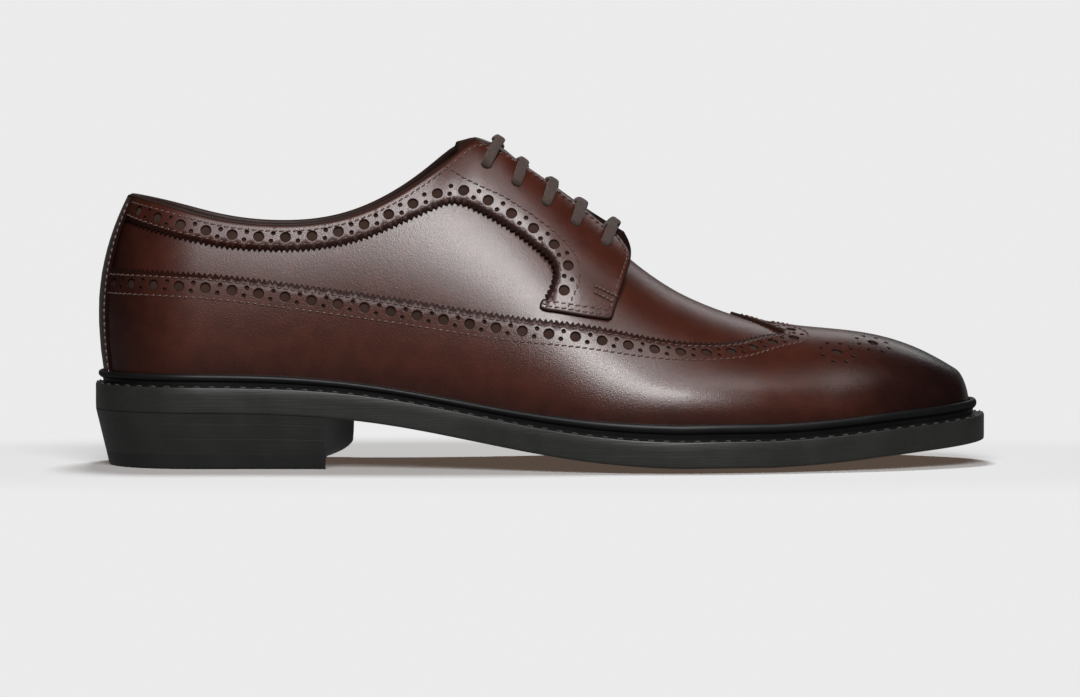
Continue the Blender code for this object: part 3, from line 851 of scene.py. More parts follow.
def make_burnish_group():
    """Leather colour that darkens to the toe, the heel and the welt, with cloudy dye and dark cut edges."""
    sockets = {"Colour": "Color", "Dark": "Color", "Edge": "Color", "Cloud": "Float"}
    made = {"Colour": "Color", "Burnish": "Float", "Dull": "Float"}
    tree, given, out = shader_group("burnished_dye", sockets, made)
    axes = node(tree, "ShaderNodeSeparateXYZ", {0: object_place(tree)}).outputs
    cloud, mottle = noise(tree, 26.0, 4.0), noise(tree, 160.0, 3.0)
    welt, cut = point_mark(tree, "above_welt"), point_mark(tree, "cut_edge")
    wander = math_node(tree, "MULTIPLY_ADD", cloud, 0.030, -0.015)
    along = math_node(tree, "ADD", axes["X"], wander)
    toe = ramp_between(tree, along, 0.080, 0.142)
    heel = ramp_between(tree, along, -0.116, -0.151, high=0.8)
    low = ramp_between(tree, welt, 0.016, 0.003, high=0.55)
    ends = math_node(tree, "MAXIMUM", toe, heel)
    burnish = math_node(tree, "MAXIMUM", ends, low)
    centre = math_node(tree, "MULTIPLY", given["Cloud"], -0.5)
    patchy = math_node(tree, "MULTIPLY_ADD", cloud, given["Cloud"], centre)
    amount = math_node(tree, "ADD", burnish, patchy, clamp=True)
    dyed = mix_colour(tree, amount, given["Colour"], given["Dark"])
    speck = ramp_between(tree, mottle, 0.35, 0.7, low=0.86, high=1.1)
    shaded = mix_colour(tree, 1.0, dyed, speck, blend="MULTIPLY")
    raw = mix_colour(tree, math_node(tree, "MULTIPLY", cut, 0.9), shaded, given["Edge"])
    tree.links.new(raw, out["Colour"])
    tree.links.new(amount, out["Burnish"])
    tree.links.new(ramp_between(tree, along, -0.075, -0.125), out["Dull"])
    return tree


GRAIN = make_grain_group()
STREAKS = make_streak_group()
BURNISH = make_burnish_group()


def group(tree, made, **inputs):
    return node(tree, "ShaderNodeGroup", inputs, node_tree=made).outputs


def new_surface(name, **constants):
    """A material with a Principled shader whose even values are set on its own sockets."""
    surface = bpy.data.materials.new(name)
    surface.use_nodes = True
    tree = surface.node_tree
    shader = tree.nodes["Principled BSDF"]
    for key, value in constants.items():
        shader.inputs[key.replace("_", " ")].default_value = value
    return surface, tree, shader


def bump(tree, shader, height, strength, distance):
    raised = node(tree, "ShaderNodeBump", {"Height": height, "Strength": strength, "Distance": distance})
    tree.links.new(raised.outputs["Normal"], shader.inputs["Normal"])


def rgb(red, green, blue):
    return red, green, blue, 1.0


def make_calf(name, colour, dark, gloss=0.29, cloud=0.30):
    """Polished calf: burnished dye, a fine grain that speckles its highlights and a thin wax coat."""
    surface, tree, shader = new_surface(name, Coat_Weight=0.06, Coat_Roughness=0.24)
    dye = group(tree, BURNISH, Colour=colour, Dark=dark, Edge=rgb(0.010, 0.005, 0.004), Cloud=cloud)
    grain = group(tree, GRAIN, Pores=3000.0, Pebbles=2200.0)["Height"]
    cut = point_mark(tree, "cut_edge")
    streaks = group(tree, STREAKS, Fineness=900.0)["Value"]
    tree.links.new(dye["Colour"], shader.inputs["Base Color"])
    brushed = math_node(tree, "MULTIPLY_ADD", streaks, 0.03, gloss - 0.015)
    waxed = math_node(tree, "MULTIPLY_ADD", dye["Burnish"], -0.06, brushed)
    polished = math_node(tree, "MULTIPLY_ADD", dye["Dull"], 0.10, waxed)
    raw = math_node(tree, "MULTIPLY_ADD", cut, 0.40, polished, clamp=True)
    tree.links.new(raw, shader.inputs["Roughness"])
    shine = math_node(tree, "MULTIPLY_ADD", dye["Dull"], -0.22, 0.5)
    edge_shine = math_node(tree, "MULTIPLY_ADD", cut, -0.42, shine, clamp=True)
    tree.links.new(edge_shine, shader.inputs["Specular IOR Level"])
    bump(tree, shader, grain, 0.28, 0.0002)
    return surface


def make_plain_leather(name, colour, dark, gloss, pores=1500.0, strength=0.25, shine=0.35):
    """Undressed or lining leather: an even dye with a visible grain."""
    surface, tree, shader = new_surface(name, Specular_IOR_Level=shine)
    grain = group(tree, GRAIN, Pores=pores, Pebbles=300.0)["Height"]
    dye = mix_colour(tree, ramp_between(tree, noise(tree, 60.0, 5.0), 0.3, 0.7), colour, dark)
    tree.links.new(dye, shader.inputs["Base Color"])
    tree.links.new(math_node(tree, "MULTIPLY_ADD", grain, 0.15, gloss), shader.inputs["Roughness"])
    bump(tree, shader, grain, strength, 0.0004)
    return surface


def make_edge_black(name, colour, gloss, fineness=1500.0, strength=0.25, shine=0.5):
    """Inked and waxed sole edge: satin black with fine level lines from trimming."""
    wax = {"Coat_Weight": 0.3 * shine, "Coat_Roughness": 0.3, "Specular_IOR_Level": shine}
    surface, tree, shader = new_surface(name, **wax)
    lines = group(tree, STREAKS, Fineness=fineness)["Value"]
    cloud = noise(tree, 90.0, 4.0)
    rubbed = math_node(tree, "MULTIPLY_ADD", lines, 0.6, cloud)
    worn = ramp_between(tree, rubbed, 0.55, 1.1, high=0.3)
    pale = tuple(min(1.0, 1.9 * value + 0.004) for value in colour[:3]) + (1.0,)
    tree.links.new(mix_colour(tree, worn, colour, pale), shader.inputs["Base Color"])
    tree.links.new(math_node(tree, "MULTIPLY_ADD", cloud, 0.16, gloss - 0.08), shader.inputs["Roughness"])
    bump(tree, shader, lines, strength, 0.0003)
    return surface


def make_thread(name, colour, dark, twist=1400.0, gloss=0.24, shine=0.5):
    """Thread or woven lace with a fine twist."""
    surface, tree, shader = new_surface(name, Specular_IOR_Level=shine, Sheen_Weight=0.15)
    fibre = noise(tree, twist, 3.0)
    spun = mix_colour(tree, ramp_between(tree, fibre, 0.3, 0.7), dark, colour)
    tree.links.new(spun, shader.inputs["Base Color"])
    tree.links.new(math_node(tree, "MULTIPLY_ADD", fibre, 0.2, gloss), shader.inputs["Roughness"])
    bump(tree, shader, fibre, 0.3, 0.0002)
    return surface


def mix_shaders(tree, share, first, second):
    return node(tree, "ShaderNodeMixShader", {0: share, 1: first.outputs[0], 2: second.outputs[0]})


def make_floor_surface():
    """Pale paper: it takes the shoe's shadow under it, with a faint warm glow painted near the shoe as bounce
    light from the sole, and looks evenly lit farther off.
    """
    surface, tree, shader = new_surface("pale_paper", Roughness=1.0, Specular_IOR_Level=0.0)
    # Painted bounce light: a faint warm glow from the brown sole over the paper near the shoe; the base
    # colour is a little blue so that the lit paper still looks neutral
    shader.inputs["Base Color"].default_value = rgb(0.490, 0.507, 0.517)
    shader.inputs["Emission Color"].default_value = rgb(1.0, 0.72, 0.56)
    shader.inputs["Emission Strength"].default_value = PAINTED_BOUNCE_GLOW
    even = node(tree, "ShaderNodeEmission", {"Color": rgb(1.0, 1.0, 1.0), "Strength": FLOOR_LEVEL})
    bounce = node(tree, "ShaderNodeBsdfDiffuse", {"Color": rgb(0.25, 0.25, 0.25)})
    mirrored = node(tree, "ShaderNodeEmission", {"Color": rgb(1.0, 1.0, 1.0), "Strength": MIRRORED_FLOOR})
    near = stretched_place(tree, NEAR_FLOOR_SCALE)
    away = node(tree, "ShaderNodeVectorMath", {0: near}, operation="LENGTH").outputs["Value"]
    path = node(tree, "ShaderNodeLightPath").outputs
    shown = mix_shaders(tree, ramp_between(tree, away, *NEAR_FLOOR), shader, even)
    unseen = mix_shaders(tree, path["Is Glossy Ray"], bounce, mirrored)
    mixed = mix_shaders(tree, path["Is Camera Ray"], unseen, shown)
    tree.links.new(mixed.outputs[0], tree.nodes["Material Output"].inputs["Surface"])
    return surface


# The paper: how bright it looks far off and in reflections, the warm glow painted over it near the shoe as
# bounce light from the brown sole, which lifts the shoe's shadow, and over which distances from the shoe,
# with x counted less, it stops showing that shadow
FLOOR_LEVEL = 0.831
MIRRORED_FLOOR = 0.13
PAINTED_BOUNCE_GLOW = 0.085
NEAR_FLOOR = (0.085, 0.15)
NEAR_FLOOR_SCALE = (0.40, 1.0, 1.0)
CALF = make_calf("brown_calf", rgb(0.056, 0.0125, 0.0065), rgb(0.010, 0.004, 0.0038))
FACING_CALF = make_calf("facing_calf", rgb(0.058, 0.0125, 0.0065), rgb(0.018, 0.006, 0.0045))
TONGUE_CALF = make_calf("tongue_calf", rgb(0.026, 0.009, 0.006), rgb(0.012, 0.005, 0.004), gloss=0.4)
LINING = make_plain_leather("lining_leather", rgb(0.028, 0.012, 0.008), rgb(0.018, 0.008, 0.006), 0.45)
SOCK = make_plain_leather("sock_leather", rgb(0.045, 0.020, 0.012), rgb(0.030, 0.014, 0.009), 0.42)
# Painted shade: a dark brown-grey for the discs at the bottoms of the punched holes, where the calf below
# lies in shade
HOLE_SHADE = make_plain_leather(
    "hole_painted_shade", rgb(0.050, 0.027, 0.021), rgb(0.030, 0.016, 0.012), 0.75, shine=0.1,
)
THREAD = make_thread("upper_thread", rgb(0.125, 0.058, 0.045), rgb(0.048, 0.021, 0.016), gloss=0.2, shine=0.6)
WELT_THREAD = make_thread(
    "welt_thread", rgb(0.065, 0.062, 0.058), rgb(0.022, 0.021, 0.020), gloss=0.5, shine=0.2,
)
# Darker black on the welt than on the sole's edge: partly the welt's own ink, partly painted shade of the
# groove under the bead
WELT_BLACK_AND_GROOVE_SHADE = make_edge_black("welt_black_and_groove_shade", rgb(0.005, 0.005, 0.005), 0.46, shine=0.25)
EDGE_BLACK = make_edge_black("sole_edge_black", rgb(0.0190, 0.0192, 0.0176), 0.42, shine=0.4)
HEEL_BLACK = make_edge_black("heel_edge_black", rgb(0.0190, 0.0192, 0.0176), 0.40, shine=0.45)
RUBBER = make_edge_black("top_piece_rubber", rgb(0.011, 0.011, 0.011), 0.5, fineness=2500.0, strength=0.12)
SOLE_BROWN = make_plain_leather(
    "sole_leather", rgb(0.26, 0.135, 0.07), rgb(0.19, 0.095, 0.048), 0.38, pores=900.0, strength=0.15,
)
LACE_COTTON = make_thread(
    "lace_cotton", rgb(0.098, 0.067, 0.057), rgb(0.040, 0.027, 0.023), twist=2600.0, gloss=0.7, shine=0.15,
)


# Skin and lining of the upper
COLLAR_ROLL = 1.1
SKIN_ROWS = 36
CORNER_SHARPNESS = 32.0
# How far the skin ends under the facings, and the spans of x over which that grows and fades
SKIN_TUCK = 13.0
SKIN_UNDER_FACING = ((126, 137), (176, THROAT_X))


def skin_edge_t(u, side):
    """Where the base skin ends: under the collar's roll, well under the facings, or at the ridge."""
    aside = hump(u, *SKIN_UNDER_FACING, SKIN_TUCK)
    return np.where(u >= THROAT_X, 1.0, rolled_opening_t(u, side, aside))


def rolled_opening_t(u, side, aside=0.0):
    """The opening's edge, lower by the collar's roll where it is at the collar."""
    collar = collar_lateral if side == LATERAL else collar_medial
    beside_gap = t_at_half_width(u, side, half_gap(u) + aside)

    def above_collar(t):
        point = last_point(u, t, side)
        return point[..., 2] - collar(point[..., 0]) + COLLAR_ROLL

    at_collar = solve_t(above_collar, u)
    lower = np.minimum(beside_gap, at_collar)
    rounding = np.log1p(np.exp(-CORNER_SHARPNESS * np.abs(beside_gap - at_collar))) / CORNER_SHARPNESS
    return np.where(u >= FACING_TOP_X + 14, beside_gap, lower - rounding)


def skin_stations():
    heel = np.linspace(0, HEEL_SWING, 22)
    quarter = np.linspace(HEEL_SWING, THROAT_X, 62)
    toe = np.linspace(THROAT_X, FLAT_TOE_TIP - 0.4, 64)
    return np.concatenate((heel, quarter[1:], toe[1:]))


def make_skin():
    """The vamp and quarters under the overlays, one layer below the last's surface."""
    points, normals, faces, flats = [], [], [], []
    p = skin_stations()
    u = u_of_flat(p)
    for side in (LATERAL, MEDIAL):
        t = skin_edge_t(u, side)[:, None] * np.linspace(0, 1, SKIN_ROWS)
        flat = flat_side(u[:, None], t, side).reshape(-1, 2)
        flat[:, 0] = np.repeat(p, SKIN_ROWS)
        faces += grid_faces(len(p), SKIN_ROWS, start=sum(map(len, points)), flip=side == MEDIAL)
        points.append(UPPER.lifted(flat, np.full(len(flat), -OVERLAY)))
        normals.append(UPPER.normal(flat))
        flats.append(flat)
    flats = np.concatenate(flats)
    marks = {"cut_edge": np.zeros(len(flats)), "above_welt": UPPER.rise(flats) * MM}
    skin = add_piece(
        "vamp_and_quarters", np.concatenate(points), faces, [CALF],
        normals=np.concatenate(normals), marks=marks,
    )
    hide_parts("upper")


def make_lining():
    """The lining inside, with the rolled edge that it forms at the collar."""
    points, faces = [], []
    p = skin_stations()
    u = u_of_flat(p)
    roll = np.linspace(0, pi, 9)
    for side in (LATERAL, MEDIAL):
        edge = skin_edge_t(u, side)
        t = edge[:, None] * np.linspace(0, 1, SKIN_ROWS)
        flat = flat_side(u[:, None], t, side)
        flat[..., 0] = p[:, None]
        wall = UPPER.lifted(flat, np.full(flat.shape[:2], -UPPER_WALL))
        faces += grid_faces(len(p), SKIN_ROWS, start=sum(map(len, points)), flip=side == LATERAL)
        points.append(wall.reshape(-1, 3))
        at_collar = u <= FACING_TOP_X - 1
        rim = flat[at_collar, -1]
        middle = UPPER.lifted(rim, np.full(len(rim), -COLLAR_ROLL))
        normal = UPPER.normal(rim)
        beyond = unit(UPPER.slopes(rim)[1]) * -side
        bead = (
            middle[:, None]
            - COLLAR_ROLL * np.cos(roll)[None, :, None] * normal[:, None]
            + COLLAR_ROLL * np.sin(roll)[None, :, None] * beyond[:, None]
        )
        faces += grid_faces(len(rim), len(roll), start=sum(map(len, points)), flip=side == LATERAL)
        points.append(bead.reshape(-1, 3))
    add_piece("lining", np.concatenate(points), faces, [LINING], sharp=70)


# Longwing tip
Guide = namedtuple("Guide", "u height")
WING_EDGE = (
    Guide(7.0, 68.0),
    Guide(27.8, 67.4),
    Guide(46.2, 65.8),
    Guide(72.2, 62.5),
    Guide(96.0, 59.3),
    Guide(121.8, 55.4),
    Guide(147.5, 51.9),
    Guide(173.5, 48.3),
    Guide(190.0, 45.0),
    Guide(205.0, 43.4),
    Guide(218.2, 43.8),
    Guide(226.0, 45.2),
)
Flank = namedtuple("Flank", "u across")
WING_VALLEY = Flank(233.5, 14.2)
WING_FLANK = (WING_VALLEY, Flank(226.5, 8.0), Flank(221.0, 3.6), Flank(215.5, 0.0))
WING_END_U = 7.0
ROSETTES = (Flank(264.5, 13.4), Flank(251.5, 23.0))
ROSETTE_RADIUS = 5.8
ROSETTE_PETALS = 8
MEDALLION_STEM = (Flank(247.5, 0), Flank(257.0, 0), Flank(266.5, 0), Flank(271.5, 0), Flank(276.0, 0),
                  Flank(281.0, 0), Flank(285.5, 0), Flank(292.0, 0))
FIRST_BIG_HOLE = 9.1
# Height of the discs of painted hole shade above the layer under the holes
HOLE_SHADE_LIFT = 0.06
# Height of the wing's swell beside the ball, and its rise and fall along the shoe and up from the welt
WING_SWELL = 1.5
WING_SWELL_ALONG = ((172, 202), (222, 250))
WING_SWELL_UP = ((0, 17), (15, 32))


def on_top(flank, side):
    """A flat point near the ridge from its distance to the middle line."""
    t = t_at_half_width(flank.u, side, flank.across) if flank.across else 1.0
    return flat_side(flank.u, t, side)


def guide_line(guides, side, raise_by=0.0):
    u = np.array([guide.u for guide in guides])
    height = np.array([guide.height for guide in guides]) + raise_by
    return flat_side(u, t_at_height(u, side, height), side)


def wing_edge():
    """The wing's gimped edge from the medial heel over the peak on the vamp to the lateral heel."""
    stretches = []
    for side in (MEDIAL, LATERAL):
        valley = on_top(WING_VALLEY, side)
        along = smooth_line(np.concatenate((guide_line(WING_EDGE, side), valley[None])))
        flank = smooth_line(np.stack([on_top(place, side) for place in WING_FLANK]))
        both = [along, flank]
        stretches += both if side == MEDIAL else [line[::-1] for line in both[::-1]]
    return Edge(UPPER, stretches)


def brogue_holes(sheet, row, start, end=3.0):
    """Big holes at even distances along a row with a pair of small ones between each two."""
    run = polyline_lengths(sheet.point(row))
    count = int((run[-1] - start - end) / HOLE_PITCH)
    holes = []
    for i in range(2 * count + 1):
        place = start + i * HOLE_PITCH / 2
        flat = np.array([[np.interp(place, run, row[:, k]) for k in (0, 1)]])
        ahead = np.array([[np.interp(place + 0.3, run, row[:, k]) for k in (0, 1)]])
        if i % 2 == 0:
            holes.append(Hole(flat[0], BIG_HOLE))
            continue
        along = unit(sheet.point(ahead) - sheet.point(flat))
        across = np.cross(sheet.normal(flat), along)
        for way in (-1, 1):
            move = way * (SMALL_HOLE_APART * across + SMALL_HOLE_SKEW * along)
            holes.append(Hole(sheet.shift(flat, move)[0], SMALL_HOLE))
    return holes


def medallion_holes():
    """A traditional punched medallion: two rosettes on each side of a row along the middle of the toe."""
    holes = [Hole(on_top(place, LATERAL), SMALL_HOLE) for place in MEDALLION_STEM]
    for side in (LATERAL, MEDIAL):
        for rosette in ROSETTES:
            middle = on_top(rosette, side)
            holes.append(Hole(middle, BIG_HOLE))
            along = unit(UPPER.slopes(middle)[0])
            across = np.cross(UPPER.normal(middle), along) * side
            for k in range(ROSETTE_PETALS):
                angle = 2 * pi * (k + 0.5) / ROSETTE_PETALS
                way = cos(angle) * along + sin(angle) * across
                holes.append(Hole(UPPER.walk(middle[None], way[None], ROSETTE_RADIUS)[0], SMALL_HOLE))
    return holes


def level(height):
    return lambda flat: np.full(flat.shape[:-1], height)


def wing_lift(flat):
    """How the wing stands out in a low round swell over the welt, beside the ball of the foot."""
    u, _, _ = over_ridge(flat[..., 0], flat[..., 1])
    rise = UPPER.rise(flat)
    return hump(rise, *WING_SWELL_UP, WING_SWELL * hump(u, *WING_SWELL_ALONG))


def make_wing(seams, hole_shades):
    edge = wing_edge()
    teeth = edge.gimped()
    foot = SHEET_HALF * 0.998
    along = np.linspace(WING_END_U, FLAT_TOE_TIP - 0.6, 130)
    tip = np.linspace(-foot, foot, 30)[1:-1]
    outline = np.concatenate((
        teeth,
        np.stack((along, np.full(len(along), -foot)), -1),
        np.stack((np.full(len(tip), along[-1]), tip), -1),
        np.stack((along[::-1], np.full(len(along), foot)), -1),
    ))
    holes = brogue_holes(UPPER, edge.row(ROW_HOLES), FIRST_BIG_HOLE) + medallion_holes()
    cut_piece("longwing", UPPER, outline, holes, wing_lift, OVERLAY, CALF)
    hole_shades.add(UPPER, holes, lambda flat: wing_lift(flat) - OVERLAY + HOLE_SHADE_LIFT)
    for depth in (ROW_OUTER, ROW_INNER):
        seams.sew(UPPER, edge.row(depth), wing_lift)


# Collar bands and facings
COLLAR_GIMP = (
    Guide(7.0, 84.6),
    Guide(22.2, 80.6),
    Guide(35.0, 76.2),
    Guide(52.0, 73.9),
    Guide(69.0, 73.7),
    Guide(89.2, 77.2),
    Guide(104.0, 83.2),
    Guide(115.0, 88.0),
    Guide(121.5, 89.6),
    Guide(128.0, 87.4),
    Guide(141.0, 80.0),
    Guide(150.0, 73.0),
    Guide(154.3, 67.6),
    Guide(153.6, 62.8),
    Guide(151.8, 59.2),
    Guide(150.2, 56.4),
)
FACING_BOTTOM = (
    Guide(150.2, 56.4),
    Guide(150.0, 55.2),
    Guide(151.3, 54.3),
    Guide(154.6, 53.7),
    Guide(163.0, 52.4),
    Guide(174.6, 50.8),
)
FACING_LOW = (Guide(112, 84.0), Guide(121.5, 89.6), Guide(128, 87.4), Guide(141, 80.0), Guide(150, 71.0),
              Guide(155, 58.0), Guide(162, 53.6), Guide(182, 50.4))
FACING_CORNER = 5.0
FACING_GROWS = (112, 130)
FACING_CREST = 0.8
FACING_CREST_SPAN = ((131, 136.5), (136.5, 145))
FACING_DROP = 0.9
FACING_SEAM_HEAD = (Guide(118.6, 102.0), Guide(122.6, 98.9), Guide(126.7, 96.4), Guide(131.9, 93.8))
FACING_SEAM_JOIN = 136.0
COLLAR_SEAM = 2.0
FACING_BOTTOM_SEAMS = (1.5, 3.3)
FACING_FRONT_SEAM = 1.7
FACING_FIRST_HOLE = {LATERAL: 8.4, MEDIAL: 3.0}
# Dye along the gimped edge, the bottom, the front, and the lacing edge with the collar
FACING_EDGE_DYES = (0.95, 0.85, 0.85, 0.3)
BAR_TACK = (Guide(168.6, 60.8), Guide(172.0, 59.2), Guide(175.2, 57.6))
BAR_TACK_ROWS = (0.0, -1.9)
BAR_TACK_PITCH = 1.6
BAR_TACK_LENGTH = 1.9
BAR_TACK_RADIUS = 0.5
EYELET_RADIUS = 1.75


def facing_share(flat):
    """How far a place is along the facing, up it, and within it at all."""
    u, t, side = over_ridge(flat[..., 0], flat[..., 1])
    along = np.clip((u - FACING_TOP_X) / (FACING_FRONT_X - FACING_TOP_X), 0, 1.08)
    up = np.zeros(np.shape(u))
    for this in (LATERAL, MEDIAL):
        low, top = FACING_LIMITS[this]
        foot, head = np.interp(u, FACING_GRID, low), np.interp(u, FACING_GRID, top)
        up = np.where(side == this, np.clip((t - foot) / (head - foot), 0, 1), up)
    return along, up, smooth_step(u, *FACING_GROWS), side


def facing_limits(side):
    """t of the facing's lower edge and of its lacing edge, over the grid of u."""
    low = t_at_height(FACING_GRID, side, np.interp(FACING_GRID, *zip(*FACING_LOW)))
    return low, t_at_half_width(FACING_GRID, side, half_gap(FACING_GRID) + GAP)


FACING_GRID = np.linspace(100, 186, 173)
FACING_LIMITS = {side: facing_limits(side) for side in (LATERAL, MEDIAL)}


def facing_lift(flat):
    """Height of the collar band's and facing's outer face: flush at the rear, over the tongue at the lace."""
    along, up, within, side = facing_share(flat)
    front = np.where(side == LATERAL, FACING_FRONT_LIFT[LATERAL], FACING_FRONT_LIFT[MEDIAL])
    stand = (FACING_LIFT + FACING_THICKNESS) * smooth_step(up, -0.15, 0.4)
    crest = hump(flat[..., 0], *FACING_CREST_SPAN, FACING_CREST)
    return within * (stand + front * along**2 * up + crest * up**3 - FACING_DROP * up**2)


def facing_depth(flat):
    along, up, within, _ = facing_share(flat)
    return OVERLAY + within * (1.0 + 0.8 * along) * smooth_step(up, -0.1, 0.4)


def facing_stretches(side):
    """The outline's stretches, leather on their left: gimp, bottom, front, and lacing edge with collar."""
    step = collar_medial if side == MEDIAL else collar_lateral
    rise = [step(g.u) - collar_lateral(g.u) if 8 < g.u < 118 else 0.0 for g in COLLAR_GIMP]
    gimp = smooth_line(guide_line(COLLAR_GIMP, side, np.array(rise)))
    bottom = smooth_line(guide_line(FACING_BOTTOM, side))
    lacing_u = np.linspace(FACING_FRONT_X - 2.2, WING_END_U, 260)
    top = flat_side(lacing_u, rolled_opening_t(lacing_u, side, GAP), side)
    low, high = bottom[-1], top[0]
    bend = flat_side(178.4, t_at_half_width(178.4, side, 20.0), side)
    corner = flat_side(178.6, t_at_half_width(178.6, side, half_gap(178.6) + FACING_CORNER), side)
    front = smooth_line(np.stack((low, bend, corner, high)))
    stretches = [gimp, bottom, front, top]
    return stretches if side == LATERAL else [line[::-1] for line in stretches[::-1]]


def eyelet_places(side):
    """Flat places of the eyelets from the top row down."""
    u, out = (np.array([getattr(bar, name) for bar in LACE_BARS]) for name in ("eyelet_x", "from_edge"))
    return flat_side(u, t_at_half_width(u, side, half_gap(u) + out), side)


def make_facing(side, name, node_name, seams, tacks, hole_shades):
    """One side's collar band and facing, cut as one piece, with its broguing, eyelets and seams."""
    way = 1 if side == LATERAL else -1
    gimp, bottom, front, top = facing_stretches(side)[::way]
    edge = Edge(UPPER, [gimp])
    plain = [resample(UPPER, line, 1.2)[1:-1] for line in (bottom, front)] + [resample(UPPER, top, 1.5)]
    cut, drawn = ([first] + plain for first in (edge.gimped(), resample(UPPER, gimp, 1.0)))
    dyes = [np.full(len(part), dye) for part, dye in zip(cut, FACING_EDGE_DYES)]
    outline, loop, dye = (np.concatenate(parts[::way]) for parts in (cut, drawn, dyes))
    holes = brogue_holes(UPPER, edge.row(ROW_HOLES), FACING_FIRST_HOLE[side])
    hole_shades.add(UPPER, holes, lambda flat: facing_lift(flat) - OVERLAY + HOLE_SHADE_LIFT)
    eyelets = [Hole(place, EYELET_RADIUS) for place in eyelet_places(side)]
    piece = cut_piece(
        name, UPPER, outline, holes + eyelets, facing_lift, facing_depth, FACING_CALF,
        edge_dye=dye,
    )
    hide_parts(node_name)
    inner = edge.row(ROW_INNER)[::way]
    inner = inner[inner[:, 0] > FACING_SEAM_JOIN]
    seam = smooth_line(np.concatenate((guide_line(FACING_SEAM_HEAD, side), inner[::12])))
    rows = [edge.row(ROW_OUTER), seam]
    rows += [Edge(UPPER, [bottom]).row(depth) for depth in FACING_BOTTOM_SEAMS]
    rows += [Edge(UPPER, [front]).row(FACING_FRONT_SEAM), Edge(UPPER, [top]).row(COLLAR_SEAM)]
    for row in rows:
        seams.sew(UPPER, row, facing_lift, within=loop)
    for raise_by in BAR_TACK_ROWS:
        tacks.sew(UPPER, guide_line(BAR_TACK, side, raise_by), facing_lift, BAR_TACK_PITCH, within=loop)


# Back strip
BACK_STRIP_HALF = 10.6
BACK_STRIP_LIFT = 0.5


def make_back_strip(seams):
    """The narrow stay that covers the wing's and the collar bands' ends at the back of the heel."""
    across = np.linspace(-BACK_STRIP_HALF, BACK_STRIP_HALF, 25)
    u = np.abs(across)
    top = np.where(across > 0, rolled_opening_t(u, LATERAL), rolled_opening_t(u, MEDIAL))
    up = np.linspace(0.01, 0.985, 45)[1:-1]
    right = np.stack((np.full(len(up), across[-1]), SHEET_HALF * up * top[-1]), -1)
    left = np.stack((np.full(len(up), across[0]), SHEET_HALF * up * top[0]), -1)
    outline = np.concatenate((
        np.stack((across, np.full(len(across), 0.01 * SHEET_HALF)), -1),
        right,
        np.stack((across, SHEET_HALF * top), -1)[::-1],
        left[::-1],
    ))
    cut_piece("back_strip", HEEL, outline, [], level(BACK_STRIP_LIFT), BACK_STRIP_LIFT, CALF)
    for line in (right, left[::-1]):
        seams.sew(HEEL, Edge(HEEL, [line]).row(1.7), level(BACK_STRIP_LIFT), start=1.5, end=1.5)


# Tongue
TONGUE_DEPTH = UPPER_WALL + 3 * GAP
TONGUE_CROWN = 0.4
TONGUE_CURL = 2.4
# Where the tongue fills the gap, where it is crowned and where its top curls down, along and across the shoe
TONGUE_MIDDLE_SPAN = ((121, 129), (165, 180))
TONGUE_MIDDLE_HALF = (6.5, 14.5)
TONGUE_CROWN_SPAN = ((124, 129), (133, 142))
TONGUE_CROWN_HALF = (2.5, 7.0)
TONGUE_CURL_SPAN = (120.5, 131.5)


def tongue_lift(flat):
    """Under the lining at its sides, and filling the gap under the facings in the middle."""
    u, t, side = over_ridge(flat[..., 0], flat[..., 1])
    across = section_point(np.maximum(u, HEEL_SWING), t, side)[0]
    under = facing_lift(flat) - facing_depth(flat) - 0.4
    middle = hump(u, *TONGUE_MIDDLE_SPAN, 1 - smooth_step(across, *TONGUE_MIDDLE_HALF))
    crown = hump(u, *TONGUE_CROWN_SPAN, TONGUE_CROWN * (1 - smooth_step(across, *TONGUE_CROWN_HALF)))
    curl = TONGUE_CURL * (1 - smooth_step(u, *TONGUE_CURL_SPAN))
    return -TONGUE_DEPTH + (under + TONGUE_DEPTH) * middle + crown - curl


def make_tongue():
    us = np.linspace(TONGUE_FRONT_X, TONGUE_TOP_X, 34)
    share = (TONGUE_FRONT_X - us) / (TONGUE_FRONT_X - TONGUE_TOP_X)
    half = TONGUE_HALF_WIDTH_FRONT + (TONGUE_HALF_WIDTH_TOP - TONGUE_HALF_WIDTH_FRONT) * share
    half *= np.sqrt(np.clip(1 - np.clip((share - 0.78) / 0.24, 0, 1) ** 2.4, 0.02, 1))
    lateral = flat_side(us, t_at_half_width(us, LATERAL, half), LATERAL)
    medial = flat_side(us, t_at_half_width(us, MEDIAL, half), MEDIAL)
    front = np.linspace(lateral[0], medial[0], 16)[1:-1]
    top = np.linspace(medial[-1], lateral[-1], 8)[1:-1]
    outline = np.concatenate((front, medial, top, lateral[::-1]))
    tongue = cut_piece(
        "tongue_leather", UPPER, outline, [], tongue_lift, TONGUE_THICKNESS, TONGUE_CALF,
    )
    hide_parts("tongue")


# Lace
LACE_WIDE = 1.8
LACE_FLAT = 0.85
LACE_SQUARENESS = 0.7
LACE_STEP = 0.36
LACE_STRANDS = 20
BRAID_PITCH = 5.2
BRAID_LOW = 0.90
BRAID_RISE = 0.13
# How soon a twisted lace comes to lie flat again, as a share of each step along it
LACE_TURN = 0.2
# One half of a bar: how far out it is, from the lacing edge at 0 to the eyelet at 1, and its height there
Run = namedtuple("Run", "share above")
LACE_RUN = (
    Run(0.97, -3.4),
    Run(1.0, -1.4),
    Run(0.985, 0.1),
    Run(0.86, 0.86),
    Run(0.60, 0.95),
    Run(0.30, 0.95),
    Run(0.04, 0.55),
    Run(-0.25, -1.5),
)


